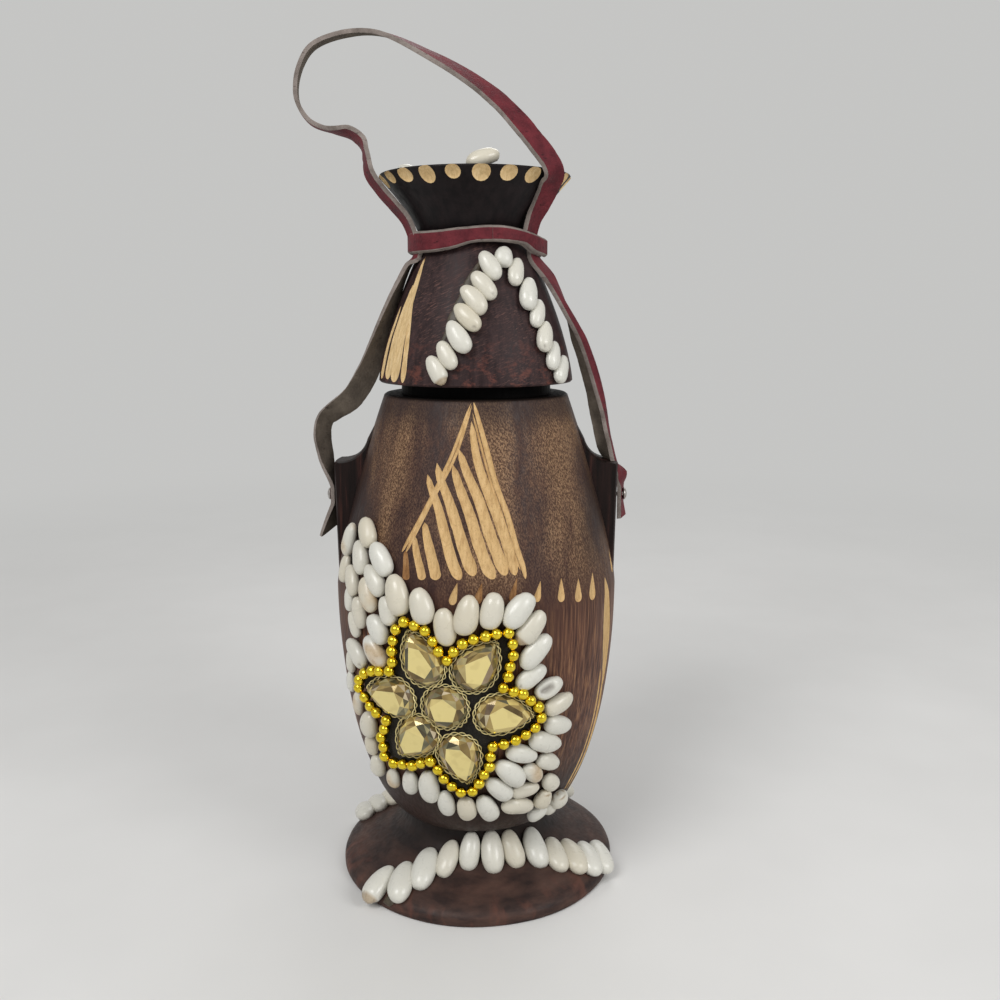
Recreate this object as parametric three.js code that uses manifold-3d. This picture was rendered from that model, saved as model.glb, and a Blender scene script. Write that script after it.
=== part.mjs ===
// Carved wooden honey pot: a hollow turned pot on a round foot, a bell-shaped lid with a flared top,
// a leather strap nailed to two lugs and held by a collar band, glued shells and a gem flower.
// Millimetres, +Z up. The pot stands on Z = 0 with its axis on Z, and its front faces -Y.
// Azimuths are degrees round the axis, 0 at the front and positive towards +X.
import * as THREE from 'three';
import { mergeVertices } from 'three/addons/utils/BufferGeometryUtils.js';
import Module from 'manifold-3d';

const wasm = await Module();
wasm.setup();

// Clearances
const SEAT_GAP = 0.3;
const STRAP_GAP = 0.4;
const SOCKET_CLEARANCE = 0.7;

// Foot, one block with the body
const FOOT_RADIUS = 57;
const FOOT_EDGE = 2.5;
const FOOT_CHAMFER = 0.8;
const FOOT_DISH = 2.17;

// Body
const WAIST_RADIUS = 30;
const WAIST_HEIGHT = 25.5;
const BELLY_RADIUS = 56.5;
const BELLY_HEIGHT = 122;
const BELLY_FULLNESS = 0.56;
const SHOULDER_RADIUS = 36.1;
const SHOULDER_HEIGHT = 198;
const SHOULDER_BEND = 1.3;
const BODY_WALL = 9.5;
const FLOOR_THICKNESS = 9.5;
const FLOOR_ROUND = 6;
const MOUTH_DEPTH = 24;

// Neck that carries the lid
const NECK_RADIUS = 29.5;
const NECK_TAPER = 1;
const NECK_HEIGHT = 20;
const MOUTH_RADIUS = 22;

// Lugs left standing at the sides of the shoulder
const LUG_WIDTH = 18;
const LUG_DROP = 27;
const LUG_FILLET = 12;
const LUG_SWEEP = 75;
const LUG_LEDGE = 1.8;
const LUG_INSET = 1.2;

// Lid
const LID_GAP = 4.6;
const SKIRT_RADIUS = 38.2;
const SKIRT_CHAMFER = 0.8;
const BELL_BEND = 1.4;
const LID_WAIST_RADIUS = 20.6;
const LID_WAIST_RISE = 52;
const FLARE_RADIUS = 36.6;
const FLARE_HEIGHT = 24.6;
const FLARE_BEND = 1.5;
const FLARE_LIP = 0.8;

// Carving
const CARVE_DEPTH = 0.9;
const RIM_NOTCHES = 22;
const NOTCH_WIDTH = 7;
const NOTCH_LENGTH = 9.6;
const NOTCH_DROP = 3;
const GOUGE_WIDTH = 4.4;
const GOUGES = 7;
const GOUGE_STEP = 6;
const GOUGE_FOOT_AZIMUTH = -20;
const GOUGE_FOOT_HEIGHT = 136;
const GOUGE_LEAN = 5;
const GOUGE_LEAN_LOSS = 2;
const GOUGE_LENGTH = 14;
const GOUGE_GROWTH = 6;

// Leather strap, collar band and tacks
const STRAP_WIDTH = 8.5;
const STRAP_THICKNESS = 1.6;
const STRAP_AZIMUTH = 68;
const LOOP_END_ROUND = 0.96;
const LOOP_CLEAR = 1.8;
const COLLAR_THICKNESS = 1.4;
const COLLAR_WIDTH = 8;
const COLLAR_ARCH = 2;
const COLLAR_ARCH_AZIMUTH = 15;
const COLLAR_ARCH_BEND = 6;
const COLLAR_CLEAR = 0.9;
const COLLAR_DROP = 0.6;
const COLLAR_EASE = 16;
const TACK_DROP = 14;
const TACK_SHANK_RADIUS = 0.9;
const TACK_SHANK_LENGTH = 11;
const TACK_POINT = 2;
const TACK_HEAD_RADIUS = 2.4;
const TACK_HEAD_HEIGHT = 1.4;
const TACK_DOME_RADIUS = 1.9;
const TACK_DOME_HEIGHT = 1;
const TACK_FLAT = 3.5;
const LEFT_TAIL = 17;
const LEFT_TAIL_FLARE = 4;
const RIGHT_TAIL = 10;
const RIGHT_TAIL_FLARE = 1;

// How far each run of the strap stands out from the straight line between collar and lug,
// as [share of the way down, offset, twist in degrees]
const LEFT_BOW = [[0.09, 5.2, 0], [0.215, 7.4, 12], [0.345, 7.4, 20], [0.44, 6.4, 30], [0.525, 7.4, 40],
  [0.59, 10.6, 45], [0.64, 13.8, 48], [0.73, 13, 48], [0.82, 8.8, 28], [0.9, 4.6, 8]];
const RIGHT_BOW = [[0.09, 5.6, 6], [0.215, 7.6, 12], [0.345, 7.5, 20], [0.44, 7, 26], [0.59, 6, 28],
  [0.75, 5, 20], [0.85, 5.5, 10], [0.93, 2.8, 0]];

// The handle loop. Beside the flare it runs through [share of the way up, left and right azimuth],
// and over the lid through [x, y, height over the rim, twist in degrees].
const LOOP_FLARE = [[0.3, 67, 62], [0.62, 66, 54], [0.95, 65, 47]];
const LOOP_ROUTE = [[-39.6, -15, 5.6, 12], [-41.2, -11, 10.4, 0], [-46, -6, 14.6, 0], [-55, -2, 16.8, 0],
  [-62.4, 0, 20.2, -6], [-66.6, 0, 26.4, -9], [-67.2, 0, 32.4, -10], [-65, -1, 39.8, -10],
  [-59.8, -3, 46, -10], [-47.2, -5, 49.9, -9], [-34.2, -8, 49.2, 0], [-15.8, -13, 40.6, 22],
  [-1.3, -18, 31.7, 34], [9.5, -23, 22.8, 44], [20, -27.5, 11, 52]];

// Shells: the long way, short way and height of each kind, its lift off the wood, and the glue between
const LID_SHELL = { length: 9.2, width: 6.2, height: 5.6, lift: 0.3 };
const TOP_SHELL = { length: 12.5, width: 8, height: 7, lift: 0.3 };
const BODY_SHELL = { length: 11.5, width: 7.6, height: 6.4, lift: 0.3 };
const RING_SHELL = { length: 9, width: 7.8, height: 6.8, lift: 0.3 };
const FOOT_SHELL = { length: 12, width: 7.2, height: 6, lift: 1.7 };
const GLUE_WIDTH = 4.6;
const GLUE_THICKNESS = 1.2;
const TOP_SHELLS = 3;
const TOP_SHELL_RADIUS = 29.5;
const TOP_SHELL_AZIMUTH = 5;

// Columns of shells on the body, as [name, ends as azimuth and rise from the flower's centre, shells]
const BODY_COLUMNS = [
  ['left_shells_1', [[-25.8, 55], [-29.8, 41]], 2],
  ['left_shells_2', [[-36.8, 62], [-37.3, 24]], 4],
  ['left_shells_3', [[-46.8, 57], [-46.3, 17]], 4],
  ['right_shells_1', [[37.2, -26], [33.2, -51]], 2],
  ['right_shells_2', [[48.2, -23], [46.2, -58]], 3],
  ['right_shells_3', [[60.2, -40], [58.2, -59]], 2],
];

// The arch of shells on the foot, as azimuth and height
const FOOT_ARCH = [[-47, 6.2], [-28, 12], [-15, 15], [0, 16.6], [16, 16.8], [30, 16], [50, 12], [72, 6.4]];
const FOOT_SHELLS = 12;

// The chevron of shells on the lid, as azimuth and rise over the lid's lower edge
const LID_APEX = [25, 42.6];
const LID_LEFT_LEG = [[9, 43], [-22, 3.5]];
const LID_LEFT_SHELLS = 7;
const LID_RIGHT_LEG = [[38, 40.5], [57, 2]];
const LID_RIGHT_SHELLS = 6;

// Gem flower
const FLOWER_AZIMUTH = -11.2;
const FLOWER_HEIGHT = 88;
const PETALS = 6;
const PETAL_PHASE = -7;
const PETAL_RADIUS = 20.7;
const PETAL_LENGTH = 19;
const PETAL_WIDTH = 14.6;
const CENTRE_GEM = 15.4;
const GEM_HEIGHT = 4.4;
const GEM_GIRDLE = 1.8;
const GEM_TABLE = 0.55;
const PEAR_TAPER = 0.32;
const GEM_SIDES = 12;
const CORD_DIAMETER = 1.1;
const BACKING_LIFT = 0.7;
const BACKING_THICKNESS = 1.2;
const BACKING_MARGIN = 2;
const BEAD_VALLEY = 19.5;
const BEAD_RISE = 16;
const BEAD_DIAMETER = 4;
const BEADS_PER_PETAL = 10;
const THREAD = 1;
const RING_RADIUS = 40.4;
const RING_WAVE = 6;
const RING_SHELLS_PER_PETAL = 5;
const RING_BREAK = 2.5;

// Facets
const MERGE_DISTANCE = 1e-4;
const SLOPE_REACH = 0.5;
const UNIT_RADIUS = 0.5;
const TURNED_SIDES = 36;
const SHELL_SIDES = 6;
const SHELL_RINGS = 4;
const SHELL_STATIONS = 3;
const BEAD_STATIONS = 3;
const BEAD_ROUTE_STEPS = 30;
const NOTCH_SIDES = 6;
const FOOT_STEPS = 6;
const BODY_STEPS = 8;
const SHOULDER_STEPS = 6;
const CAVITY_STEPS = 6;
const LUG_STEPS = 4;
const BELL_STEPS = 7;
const FLARE_STEPS = 5;
const GOUGE_STEPS = 3;
const TACK_SIDES = 8;
const BACKING_SIDES = 4;
const BACKING_RINGS = 4;
const BEAD_SIDES = 4;
const RUN_STEPS = 28;
const LOOP_STEPS = 52;
const COLLAR_STEPS = 36;

// Sections of swept pieces, as [across, out] shares of each station
const FLAT_SECTION = [[-1, -1], [1, -1], [1, 1], [-1, 1]];
const SHELL_SECTION = [[-0.7, 0], [-1, 0.45], [-0.5, 1], [0.5, 1], [1, 0.45], [0.7, 0]];

// Heights and radii that follow from the sizes above
const NECK_TOP = SHOULDER_HEIGHT + NECK_HEIGHT;
const LUG_TOP = SHOULDER_HEIGHT - LUG_DROP;
const TACK_HEIGHT = LUG_TOP - TACK_DROP;
const FLOOR_HEIGHT = WAIST_HEIGHT + FLOOR_THICKNESS;
const LID_BOTTOM = SHOULDER_HEIGHT + LID_GAP;
const LID_WAIST = LID_BOTTOM + LID_WAIST_RISE;
const LID_TOP = LID_WAIST + FLARE_HEIGHT + FLARE_LIP;
const COLLAR_HEIGHT = LID_WAIST - COLLAR_DROP;
const BACKING_TOP = BACKING_LIFT + BACKING_THICKNESS;
const COLLAR_TOP = COLLAR_HEIGHT + COLLAR_WIDTH / 2;
const COLLAR_FOOT = COLLAR_HEIGHT - COLLAR_WIDTH / 2;

const WOOD = { color: 0x4a2c1f, roughness: 0.6, metalness: 0 };
const LEATHER = { color: 0x6d2430, roughness: 0.55, metalness: 0 };
const STEEL = { color: 0xb9b7b2, roughness: 0.35, metalness: 0.9 };
const SHELL = { color: 0xe9e4d6, roughness: 0.3, metalness: 0 };
const GOLD = { color: 0xd2a51e, roughness: 0.25, metalness: 0.9 };
const CORD = { color: 0xb59a4a, roughness: 0.5, metalness: 0.6 };
const FELT = { color: 0x14110f, roughness: 0.95, metalness: 0 };
const GEM = { color: 0xc9b77c, roughness: 0.08, metalness: 0.1 };

// Small helpers
const radians = THREE.MathUtils.degToRad;
const lerp = THREE.MathUtils.lerp;
const QUARTER_TURN = 90;
const FRONT = new THREE.Vector3(0, -1, 0);
const FACES = [['front', 0], ['back', 180]];

function steps(from, to, count) {
  return Array.from({ length: count + 1 }, (_, i) => lerp(from, to, i / count));
}

function outward(azimuth) {
  return new THREE.Vector3(Math.sin(radians(azimuth)), -Math.cos(radians(azimuth)), 0);
}

function signedVolume(geometry) {
  const position = geometry.getAttribute('position');
  const index = geometry.getIndex().array;
  const [a, b, c] = [new THREE.Vector3(), new THREE.Vector3(), new THREE.Vector3()];
  let volume = 0;
  for (let i = 0; i < index.length; i += 3) {
    a.fromBufferAttribute(position, index[i]);
    b.fromBufferAttribute(position, index[i + 1]);
    c.fromBufferAttribute(position, index[i + 2]);
    volume += a.dot(b.cross(c)) / 6;
  }
  return volume;
}

// A closed geometry with its shared corners merged and its faces pointing out
function closed(geometry) {
  geometry.deleteAttribute('normal');
  geometry.deleteAttribute('uv');
  const merged = mergeVertices(geometry, MERGE_DISTANCE);
  const index = Array.from(merged.getIndex().array);
  const kept = [];
  for (let i = 0; i < index.length; i += 3) {
    const corner = index.slice(i, i + 3);
    if (new Set(corner).size === 3) kept.push(...corner);
  }
  merged.setIndex(kept);
  if (signedVolume(merged) < 0) merged.setIndex(kept.reverse());
  return merged;
}

function toSolid(geometry) {
  const shape = closed(geometry);
  return new wasm.Manifold(new wasm.Mesh({
    numProp: 3,
    vertProperties: new Float32Array(shape.getAttribute('position').array),
    triVerts: new Uint32Array(shape.getIndex().array),
  }));
}

function toGeometry(solid) {
  const { vertProperties, triVerts } = solid.getMesh();
  const geometry = new THREE.BufferGeometry();
  geometry.setAttribute('position', new THREE.BufferAttribute(vertProperties, 3));
  geometry.setIndex(new THREE.BufferAttribute(triVerts, 1));
  return geometry;
}

function joined(geometries) {
  return geometries.map(toSolid).reduce((whole, piece) => whole.add(piece));
}

function piece(name, geometry, finish) {
  const shape = closed(geometry);
  shape.computeVertexNormals();
  const mesh = new THREE.Mesh(shape, new THREE.MeshStandardMaterial(finish));
  mesh.name = name;
  return mesh;
}

function turned(outline) {
  const points = outline.map(([radius, height]) => new THREE.Vector2(radius, height));
  return new THREE.LatheGeometry(points, TURNED_SIDES).rotateX(Math.PI / 2);
}

// Outer radius of the pot at a height: foot, lower body, then shoulder
function potRadius(height) {
  if (height <= FOOT_EDGE) return FOOT_RADIUS;
  if (height <= WAIST_HEIGHT) {
    const share = (height - FOOT_EDGE) / (WAIST_HEIGHT - FOOT_EDGE);
    return lerp(WAIST_RADIUS, FOOT_RADIUS, ((1 + Math.cos(Math.PI * share)) / 2) ** FOOT_DISH);
  }
  if (height <= BELLY_HEIGHT) {
    const left = (BELLY_HEIGHT - height) / (BELLY_HEIGHT - WAIST_HEIGHT);
    return lerp(WAIST_RADIUS, BELLY_RADIUS, (1 - left * left) ** BELLY_FULLNESS);
  }
  const share = Math.min((height - BELLY_HEIGHT) / (SHOULDER_HEIGHT - BELLY_HEIGHT), 1);
  return lerp(BELLY_RADIUS, SHOULDER_RADIUS, share ** SHOULDER_BEND);
}

// Outer radius of the lid at a height: bell, then flare
function lidRadius(height) {
  if (height <= LID_WAIST) {
    const share = Math.max((height - LID_BOTTOM) / LID_WAIST_RISE, 0);
    return lerp(SKIRT_RADIUS, LID_WAIST_RADIUS, share ** BELL_BEND);
  }
  const share = Math.min((height - LID_WAIST) / FLARE_HEIGHT, 1);
  return lerp(LID_WAIST_RADIUS, FLARE_RADIUS, share ** FLARE_BEND);
}

// A frame on a turned surface: the point, and the directions round, up along and out of it
function seat(radiusAt, azimuth, height, lift) {
  const slope = (radiusAt(height + SLOPE_REACH) - radiusAt(height - SLOPE_REACH)) / (2 * SLOPE_REACH);
  const radial = outward(azimuth);
  const round = new THREE.Vector3(-radial.y, radial.x, 0);
  const up = radial.clone().multiplyScalar(slope).setZ(1).normalize();
  const out = round.clone().cross(up);
  const at = radial.multiplyScalar(radiusAt(height)).setZ(height).addScaledVector(out, lift);
  return { at, round, up, out };
}

function azimuthOf(point) {
  return THREE.MathUtils.radToDeg(Math.atan2(point.x, -point.y));
}

// A piece swept through stations; each holds a centre and its across and out directions, sized
function sweep(stations, section, isRing) {
  const sides = section.length;
  const corners = stations.flatMap(({ at, across, out }) => section.map(
    ([wide, high]) => at.clone().addScaledVector(across, wide).addScaledVector(out, high),
  ));
  const index = [];
  const spans = isRing ? stations.length : stations.length - 1;
  for (let span = 0; span < spans; span += 1) {
    const near = sides * span;
    const far = sides * ((span + 1) % stations.length);
    for (let side = 0; side < sides; side += 1) {
      const next = (side + 1) % sides;
      index.push(near + side, near + next, far + next, near + side, far + next, far + side);
    }
  }
  const last = corners.length - sides;
  for (let side = 1; side < sides - 1 && !isRing; side += 1) {
    index.push(0, side + 1, side, last, last + side, last + side + 1);
  }
  const geometry = new THREE.BufferGeometry().setFromPoints(corners);
  geometry.setIndex(index);
  return geometry;
}

// Frames along [azimuth, height] points on a turned surface, with the way across the path
function pathFrames(radiusAt, path, lift) {
  const seats = path.map(([azimuth, height]) => seat(radiusAt, azimuth, height, lift));
  return seats.map(({ at, out }, i) => {
    const before = seats[Math.max(i - 1, 0)].at;
    const after = seats[Math.min(i + 1, seats.length - 1)].at;
    const across = out.clone().cross(after.clone().sub(before)).normalize();
    return { at, across, out };
  });
}

// A strip that cuts a groove of even depth along a path on a turned surface
function grooveCutter(radiusAt, path, width) {
  const stations = pathFrames(radiusAt, path, 0);
  for (const { across, out } of stations) {
    across.multiplyScalar(width / 2);
    out.multiplyScalar(CARVE_DEPTH);
  }
  return sweep(stations, FLAT_SECTION, false);
}

// Points at even distances along a curve through [azimuth, height] points on a turned surface
function spacedPath(radiusAt, path, count) {
  const curve = new THREE.CatmullRomCurve3(path.map(([a, h]) => seat(radiusAt, a, h, 0).at));
  return curve.getSpacedPoints(count).map((point) => [azimuthOf(point), point.z]);
}

// One shell, an oval dome seated in a frame with its length uphill
function shell({ at, round, up, out }, { length, width, height, lift }) {
  const rise = lift + height * Math.cos(Math.PI / SHELL_SIDES) / 2;
  const centre = at.clone().addScaledVector(out, rise);
  const frame = new THREE.Matrix4().makeBasis(round, up, out).setPosition(centre);
  return new THREE.SphereGeometry(UNIT_RADIUS, SHELL_SIDES, SHELL_RINGS)
    .scale(width, length, height)
    .applyMatrix4(frame);
}

// A row of shells along a path, joined by the glue between them; reach is their size across it
function shellRow(name, radiusAt, path, count, reach, { height, lift }) {
  const frames = pathFrames(radiusAt, spacedPath(radiusAt, path, SHELL_STATIONS * count), lift);
  frames.forEach(({ across, out }, i) => {
    const isGlue = i % SHELL_STATIONS === 0;
    across.multiplyScalar((isGlue ? GLUE_WIDTH : reach) / 2);
    out.multiplyScalar(isGlue ? GLUE_THICKNESS : height);
  });
  return piece(name, sweep(frames, SHELL_SECTION, false), SHELL);
}

// Cutters for the carved triangle on the front, each gouge from its foot up to its point
function gougeCutters() {
  return steps(0, GOUGES - 1, GOUGES - 1).map((k) => {
    const foot = GOUGE_FOOT_AZIMUTH + GOUGE_STEP * k;
    const top = foot - GOUGE_LEAN - GOUGE_LEAN_LOSS * k;
    const length = GOUGE_LENGTH + GOUGE_GROWTH * k;
    const ends = [[foot, GOUGE_FOOT_HEIGHT], [top, GOUGE_FOOT_HEIGHT + length]];
    return grooveCutter(potRadius, spacedPath(potRadius, ends, GOUGE_STEPS), GOUGE_WIDTH);
  });
}

// Cutters for the scooped notches round the rim of the lid
function rimCutters() {
  const pitch = 360 / RIM_NOTCHES;
  return steps(0, RIM_NOTCHES - 1, RIM_NOTCHES - 1).map((k) => {
    const place = seat(lidRadius, TOP_SHELL_AZIMUTH + pitch * k, LID_TOP - NOTCH_DROP, 0);
    const frame = new THREE.Matrix4().makeBasis(place.round, place.out, place.up).setPosition(place.at);
    return new THREE.CylinderGeometry(UNIT_RADIUS, UNIT_RADIUS, 2 * CARVE_DEPTH, NOTCH_SIDES)
      .scale(NOTCH_WIDTH, 1, NOTCH_LENGTH)
      .applyMatrix4(frame);
  });
}

function potOutline() {
  const lowerBody = steps(0, 1, BODY_STEPS).map((t) => lerp(WAIST_HEIGHT, BELLY_HEIGHT, t * t));
  const shoulder = steps(BELLY_HEIGHT, SHOULDER_HEIGHT, SHOULDER_STEPS);
  const cavity = steps(SHOULDER_HEIGHT - MOUTH_DEPTH, FLOOR_HEIGHT + FLOOR_ROUND, CAVITY_STEPS);
  const cavityFoot = potRadius(FLOOR_HEIGHT + FLOOR_ROUND) - BODY_WALL - FLOOR_ROUND;
  return [
    [0, 0],
    [FOOT_RADIUS - FOOT_CHAMFER, 0],
    [FOOT_RADIUS, FOOT_CHAMFER],
    ...steps(FOOT_EDGE, WAIST_HEIGHT, FOOT_STEPS).map((height) => [potRadius(height), height]),
    ...lowerBody.slice(1).map((height) => [potRadius(height), height]),
    ...shoulder.slice(1).map((height) => [potRadius(height), height]),
    [NECK_RADIUS, SHOULDER_HEIGHT],
    [NECK_RADIUS - NECK_TAPER, NECK_TOP],
    [MOUTH_RADIUS, NECK_TOP],
    [MOUTH_RADIUS, SHOULDER_HEIGHT - BODY_WALL],
    ...cavity.map((height) => [potRadius(height) - BODY_WALL, height]),
    [cavityFoot, FLOOR_HEIGHT],
    [0, FLOOR_HEIGHT],
  ];
}

// The ring of wood that the two lugs are cut from, with a hollow curve down from the shoulder
function lugRing() {
  const edge = BELLY_RADIUS - LUG_INSET;
  const root = BELLY_HEIGHT + LUG_FILLET / 2;
  const core = MOUTH_RADIUS + BODY_WALL;
  const curve = steps(0, LUG_SWEEP, LUG_STEPS).map((angle) => [
    edge - LUG_LEDGE - LUG_FILLET * Math.sin(radians(angle)),
    LUG_TOP + LUG_FILLET * (1 - Math.cos(radians(angle))),
  ]);
  return turned([
    [core, root],
    [edge, root],
    [edge, LUG_TOP],
    ...curve,
    [core, curve.at(-1)[1]],
    [core, root],
  ]);
}

function tackSeat(side) {
  return new THREE.Vector3(side * (BELLY_RADIUS - LUG_INSET + SEAT_GAP), 0, TACK_HEIGHT);
}

function alongX(geometry, side, x) {
  return geometry.rotateZ(-side * Math.PI / 2).translate(x, 0, TACK_HEIGHT);
}

// The hole that a tack's shank takes through the strap and into the lug
function tackHole(side) {
  const length = TACK_SHANK_LENGTH + STRAP_THICKNESS;
  const radius = TACK_SHANK_RADIUS + SEAT_GAP;
  const hole = new THREE.CylinderGeometry(radius, radius, 2 * length, TACK_SIDES);
  return toSolid(alongX(hole, side, tackSeat(side).x));
}

function potBody() {
  const across = new THREE.BoxGeometry(4 * BELLY_RADIUS, LUG_WIDTH, 2 * LID_TOP);
  const lugs = toSolid(lugRing()).intersect(toSolid(across));
  const block = toSolid(turned(potOutline())).add(lugs).subtract(joined(gougeCutters()));
  return toGeometry(block.subtract(tackHole(-1)).subtract(tackHole(1)));
}

function lidOutline() {
  const socketTop = NECK_TOP + SEAT_GAP;
  const bell = steps(LID_BOTTOM + SKIRT_CHAMFER, LID_WAIST, BELL_STEPS);
  const flare = steps(LID_WAIST, LID_TOP - FLARE_LIP, FLARE_STEPS);
  return [
    [0, socketTop],
    [NECK_RADIUS - NECK_TAPER + SOCKET_CLEARANCE, socketTop],
    [NECK_RADIUS + SOCKET_CLEARANCE, LID_BOTTOM],
    [SKIRT_RADIUS - SKIRT_CHAMFER, LID_BOTTOM],
    ...[...bell, ...flare.slice(1)].map((height) => [lidRadius(height), height]),
    [FLARE_RADIUS, LID_TOP],
    [0, LID_TOP],
  ];
}

function lidBlock() {
  return toGeometry(toSolid(turned(lidOutline())).subtract(joined(rimCutters())));
}

// Stations of a strap along control points, its width facing the front and turned by each twist
function strapStations(points, twists, count) {
  const curve = new THREE.CatmullRomCurve3(points);
  return steps(0, 1, count).map((u) => {
    const along = curve.getTangentAt(u);
    const place = curve.getUtoTmapping(u) * (points.length - 1);
    const before = Math.min(Math.floor(place), points.length - 2);
    const twist = lerp(twists[before], twists[before + 1], place - before);
    const across = FRONT.clone().addScaledVector(along, -FRONT.dot(along)).normalize();
    across.applyAxisAngle(along, radians(twist));
    return { at: curve.getPointAt(u), across, out: along.clone().cross(across) };
  });
}

function strapSweep(stations, widthAt) {
  stations.forEach(({ at, across, out }) => {
    across.multiplyScalar(widthAt(at) / 2);
    out.multiplyScalar(STRAP_THICKNESS / 2);
  });
  return sweep(stations, FLAT_SECTION, false);
}

const STRAP_SEAT = lidRadius(COLLAR_FOOT) + STRAP_GAP + STRAP_THICKNESS / 2;

// One run of the strap: out from under the collar, down beside the lid, over the lug to its cut end
function strapRun(name, side, bow, tail, flare) {
  const head = outward(side * STRAP_AZIMUTH).multiplyScalar(STRAP_SEAT);
  const lug = tackSeat(side).x + side * STRAP_THICKNESS / 2;
  const twistAtCollar = side * (QUARTER_TURN - STRAP_AZIMUTH);
  const points = [
    head.clone().setZ(COLLAR_TOP),
    head.clone().setZ(COLLAR_FOOT),
    ...bow.map(([share, offset]) => new THREE.Vector3(
      lerp(head.x, lug, share) + side * offset,
      lerp(head.y, 0, share),
      lerp(COLLAR_FOOT, TACK_HEIGHT, share),
    )),
    new THREE.Vector3(lug, 0, TACK_HEIGHT + TACK_FLAT),
    new THREE.Vector3(lug, 0, TACK_HEIGHT),
    new THREE.Vector3(lug, 0, TACK_HEIGHT - TACK_FLAT),
    new THREE.Vector3(lug + side * flare, 0, TACK_HEIGHT - tail),
  ];
  const twists = [twistAtCollar, twistAtCollar, ...bow.map(([, , twist]) => twist), 0, 0, 0, 0];
  const run = toSolid(strapSweep(strapStations(points, twists, RUN_STEPS), () => STRAP_WIDTH));
  return piece(name, toGeometry(run.subtract(tackHole(side))), LEATHER);
}

// The loop of the strap over the lid, with round ends so that it can swing on the collar
function strapLoop() {
  const pivot = COLLAR_TOP + COLLAR_CLEAR + STRAP_WIDTH / 2;
  const beside = (azimuth, height) => outward(azimuth)
    .multiplyScalar(lidRadius(height) + LOOP_CLEAR + STRAP_THICKNESS / 2)
    .setZ(height);
  const leftEnd = beside(-STRAP_AZIMUTH, pivot);
  const rightEnd = beside(STRAP_AZIMUTH, pivot);
  const tip = new THREE.Vector3(0, 0, -STRAP_WIDTH / 2);
  const heightAt = (share) => lerp(pivot, LID_TOP, share);
  const points = [
    leftEnd.clone().add(tip),
    leftEnd,
    ...LOOP_FLARE.map(([share, left]) => beside(-left, heightAt(share))),
    ...LOOP_ROUTE.map(([x, y, rise]) => new THREE.Vector3(x, y, LID_TOP + rise)),
    ...LOOP_FLARE.map(([share, , right]) => beside(right, heightAt(share))).reverse(),
    rightEnd,
    rightEnd.clone().add(tip),
  ];
  const endTwist = QUARTER_TURN - STRAP_AZIMUTH;
  const twists = [
    endTwist,
    endTwist,
    ...LOOP_FLARE.map(([, left]) => QUARTER_TURN - left),
    ...LOOP_ROUTE.map(([, , , twist]) => twist),
    ...LOOP_FLARE.map(([, , right]) => QUARTER_TURN - right).reverse(),
    endTwist,
    endTwist,
  ];
  const widthAt = (at) => {
    const reach = Math.min(at.distanceTo(points[0]), at.distanceTo(points.at(-1)));
    const inset = Math.max(1 - reach / (STRAP_WIDTH / 2), 0);
    return STRAP_WIDTH * Math.sqrt(1 - (inset * LOOP_END_ROUND) ** 2);
  };
  return piece('strap_loop', strapSweep(strapStations(points, twists, LOOP_STEPS), widthAt), LEATHER);
}

// The collar band: an oval ring round the lid's waist that leaves room for the strap at each side
function collarBand() {
  const front = lidRadius(COLLAR_FOOT) + STRAP_GAP + COLLAR_THICKNESS / 2;
  const strapCorner = Math.hypot(STRAP_SEAT + STRAP_THICKNESS / 2, STRAP_WIDTH / 2);
  const side = strapCorner + 2 * STRAP_GAP + COLLAR_THICKNESS / 2;
  const wideFrom = Math.sin(radians(STRAP_AZIMUTH - COLLAR_EASE));
  const stations = steps(0, 360, COLLAR_STEPS).slice(1).map((azimuth) => {
    const share = Math.min(Math.abs(Math.sin(radians(azimuth))) / wideFrom, 1);
    const facing = Math.cos(radians(azimuth - COLLAR_ARCH_AZIMUTH));
    const arch = COLLAR_ARCH * facing ** COLLAR_ARCH_BEND;
    const out = outward(azimuth);
    return {
      at: out.clone().multiplyScalar(lerp(front, side, share)).setZ(COLLAR_HEIGHT + arch),
      across: new THREE.Vector3(0, 0, COLLAR_WIDTH / 2),
      out: out.multiplyScalar(COLLAR_THICKNESS / 2),
    };
  });
  return piece('collar_band', sweep(stations, FLAT_SECTION, true), LEATHER);
}

// A tack with a domed head, driven through the strap into the lug
function tack(name, side) {
  const outline = [
    [0, -TACK_SHANK_LENGTH],
    [TACK_SHANK_RADIUS, TACK_POINT - TACK_SHANK_LENGTH],
    [TACK_SHANK_RADIUS, 0],
    [TACK_HEAD_RADIUS, 0],
    [TACK_DOME_RADIUS, TACK_DOME_HEIGHT],
    [0, TACK_HEAD_HEIGHT],
  ];
  const points = outline.map(([radius, height]) => new THREE.Vector2(radius, height));
  const shape = alongX(new THREE.LatheGeometry(points, TACK_SIDES), side, 0);
  return piece(name, shape.translate(tackSeat(side).x + side * (STRAP_THICKNESS + SEAT_GAP), 0, 0), STEEL);
}

// Flower coordinates: across and up from its centre, laid on the body
function onFlower(angle, radius) {
  const across = radius * Math.cos(radians(angle));
  const up = radius * Math.sin(radians(angle));
  const arc = THREE.MathUtils.radToDeg(across / potRadius(FLOWER_HEIGHT));
  return [FLOWER_AZIMUTH + arc, FLOWER_HEIGHT + up];
}

function petalAngle(k) {
  return PETAL_PHASE + (360 / PETALS) * k;
}

function beadRadius(angle) {
  return BEAD_VALLEY + BEAD_RISE * Math.abs(Math.cos(radians((angle - PETAL_PHASE) * PETALS / 2)));
}

function ringRadius(angle) {
  return RING_RADIUS + RING_WAVE * Math.cos(radians((angle - PETAL_PHASE) * PETALS));
}

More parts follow.
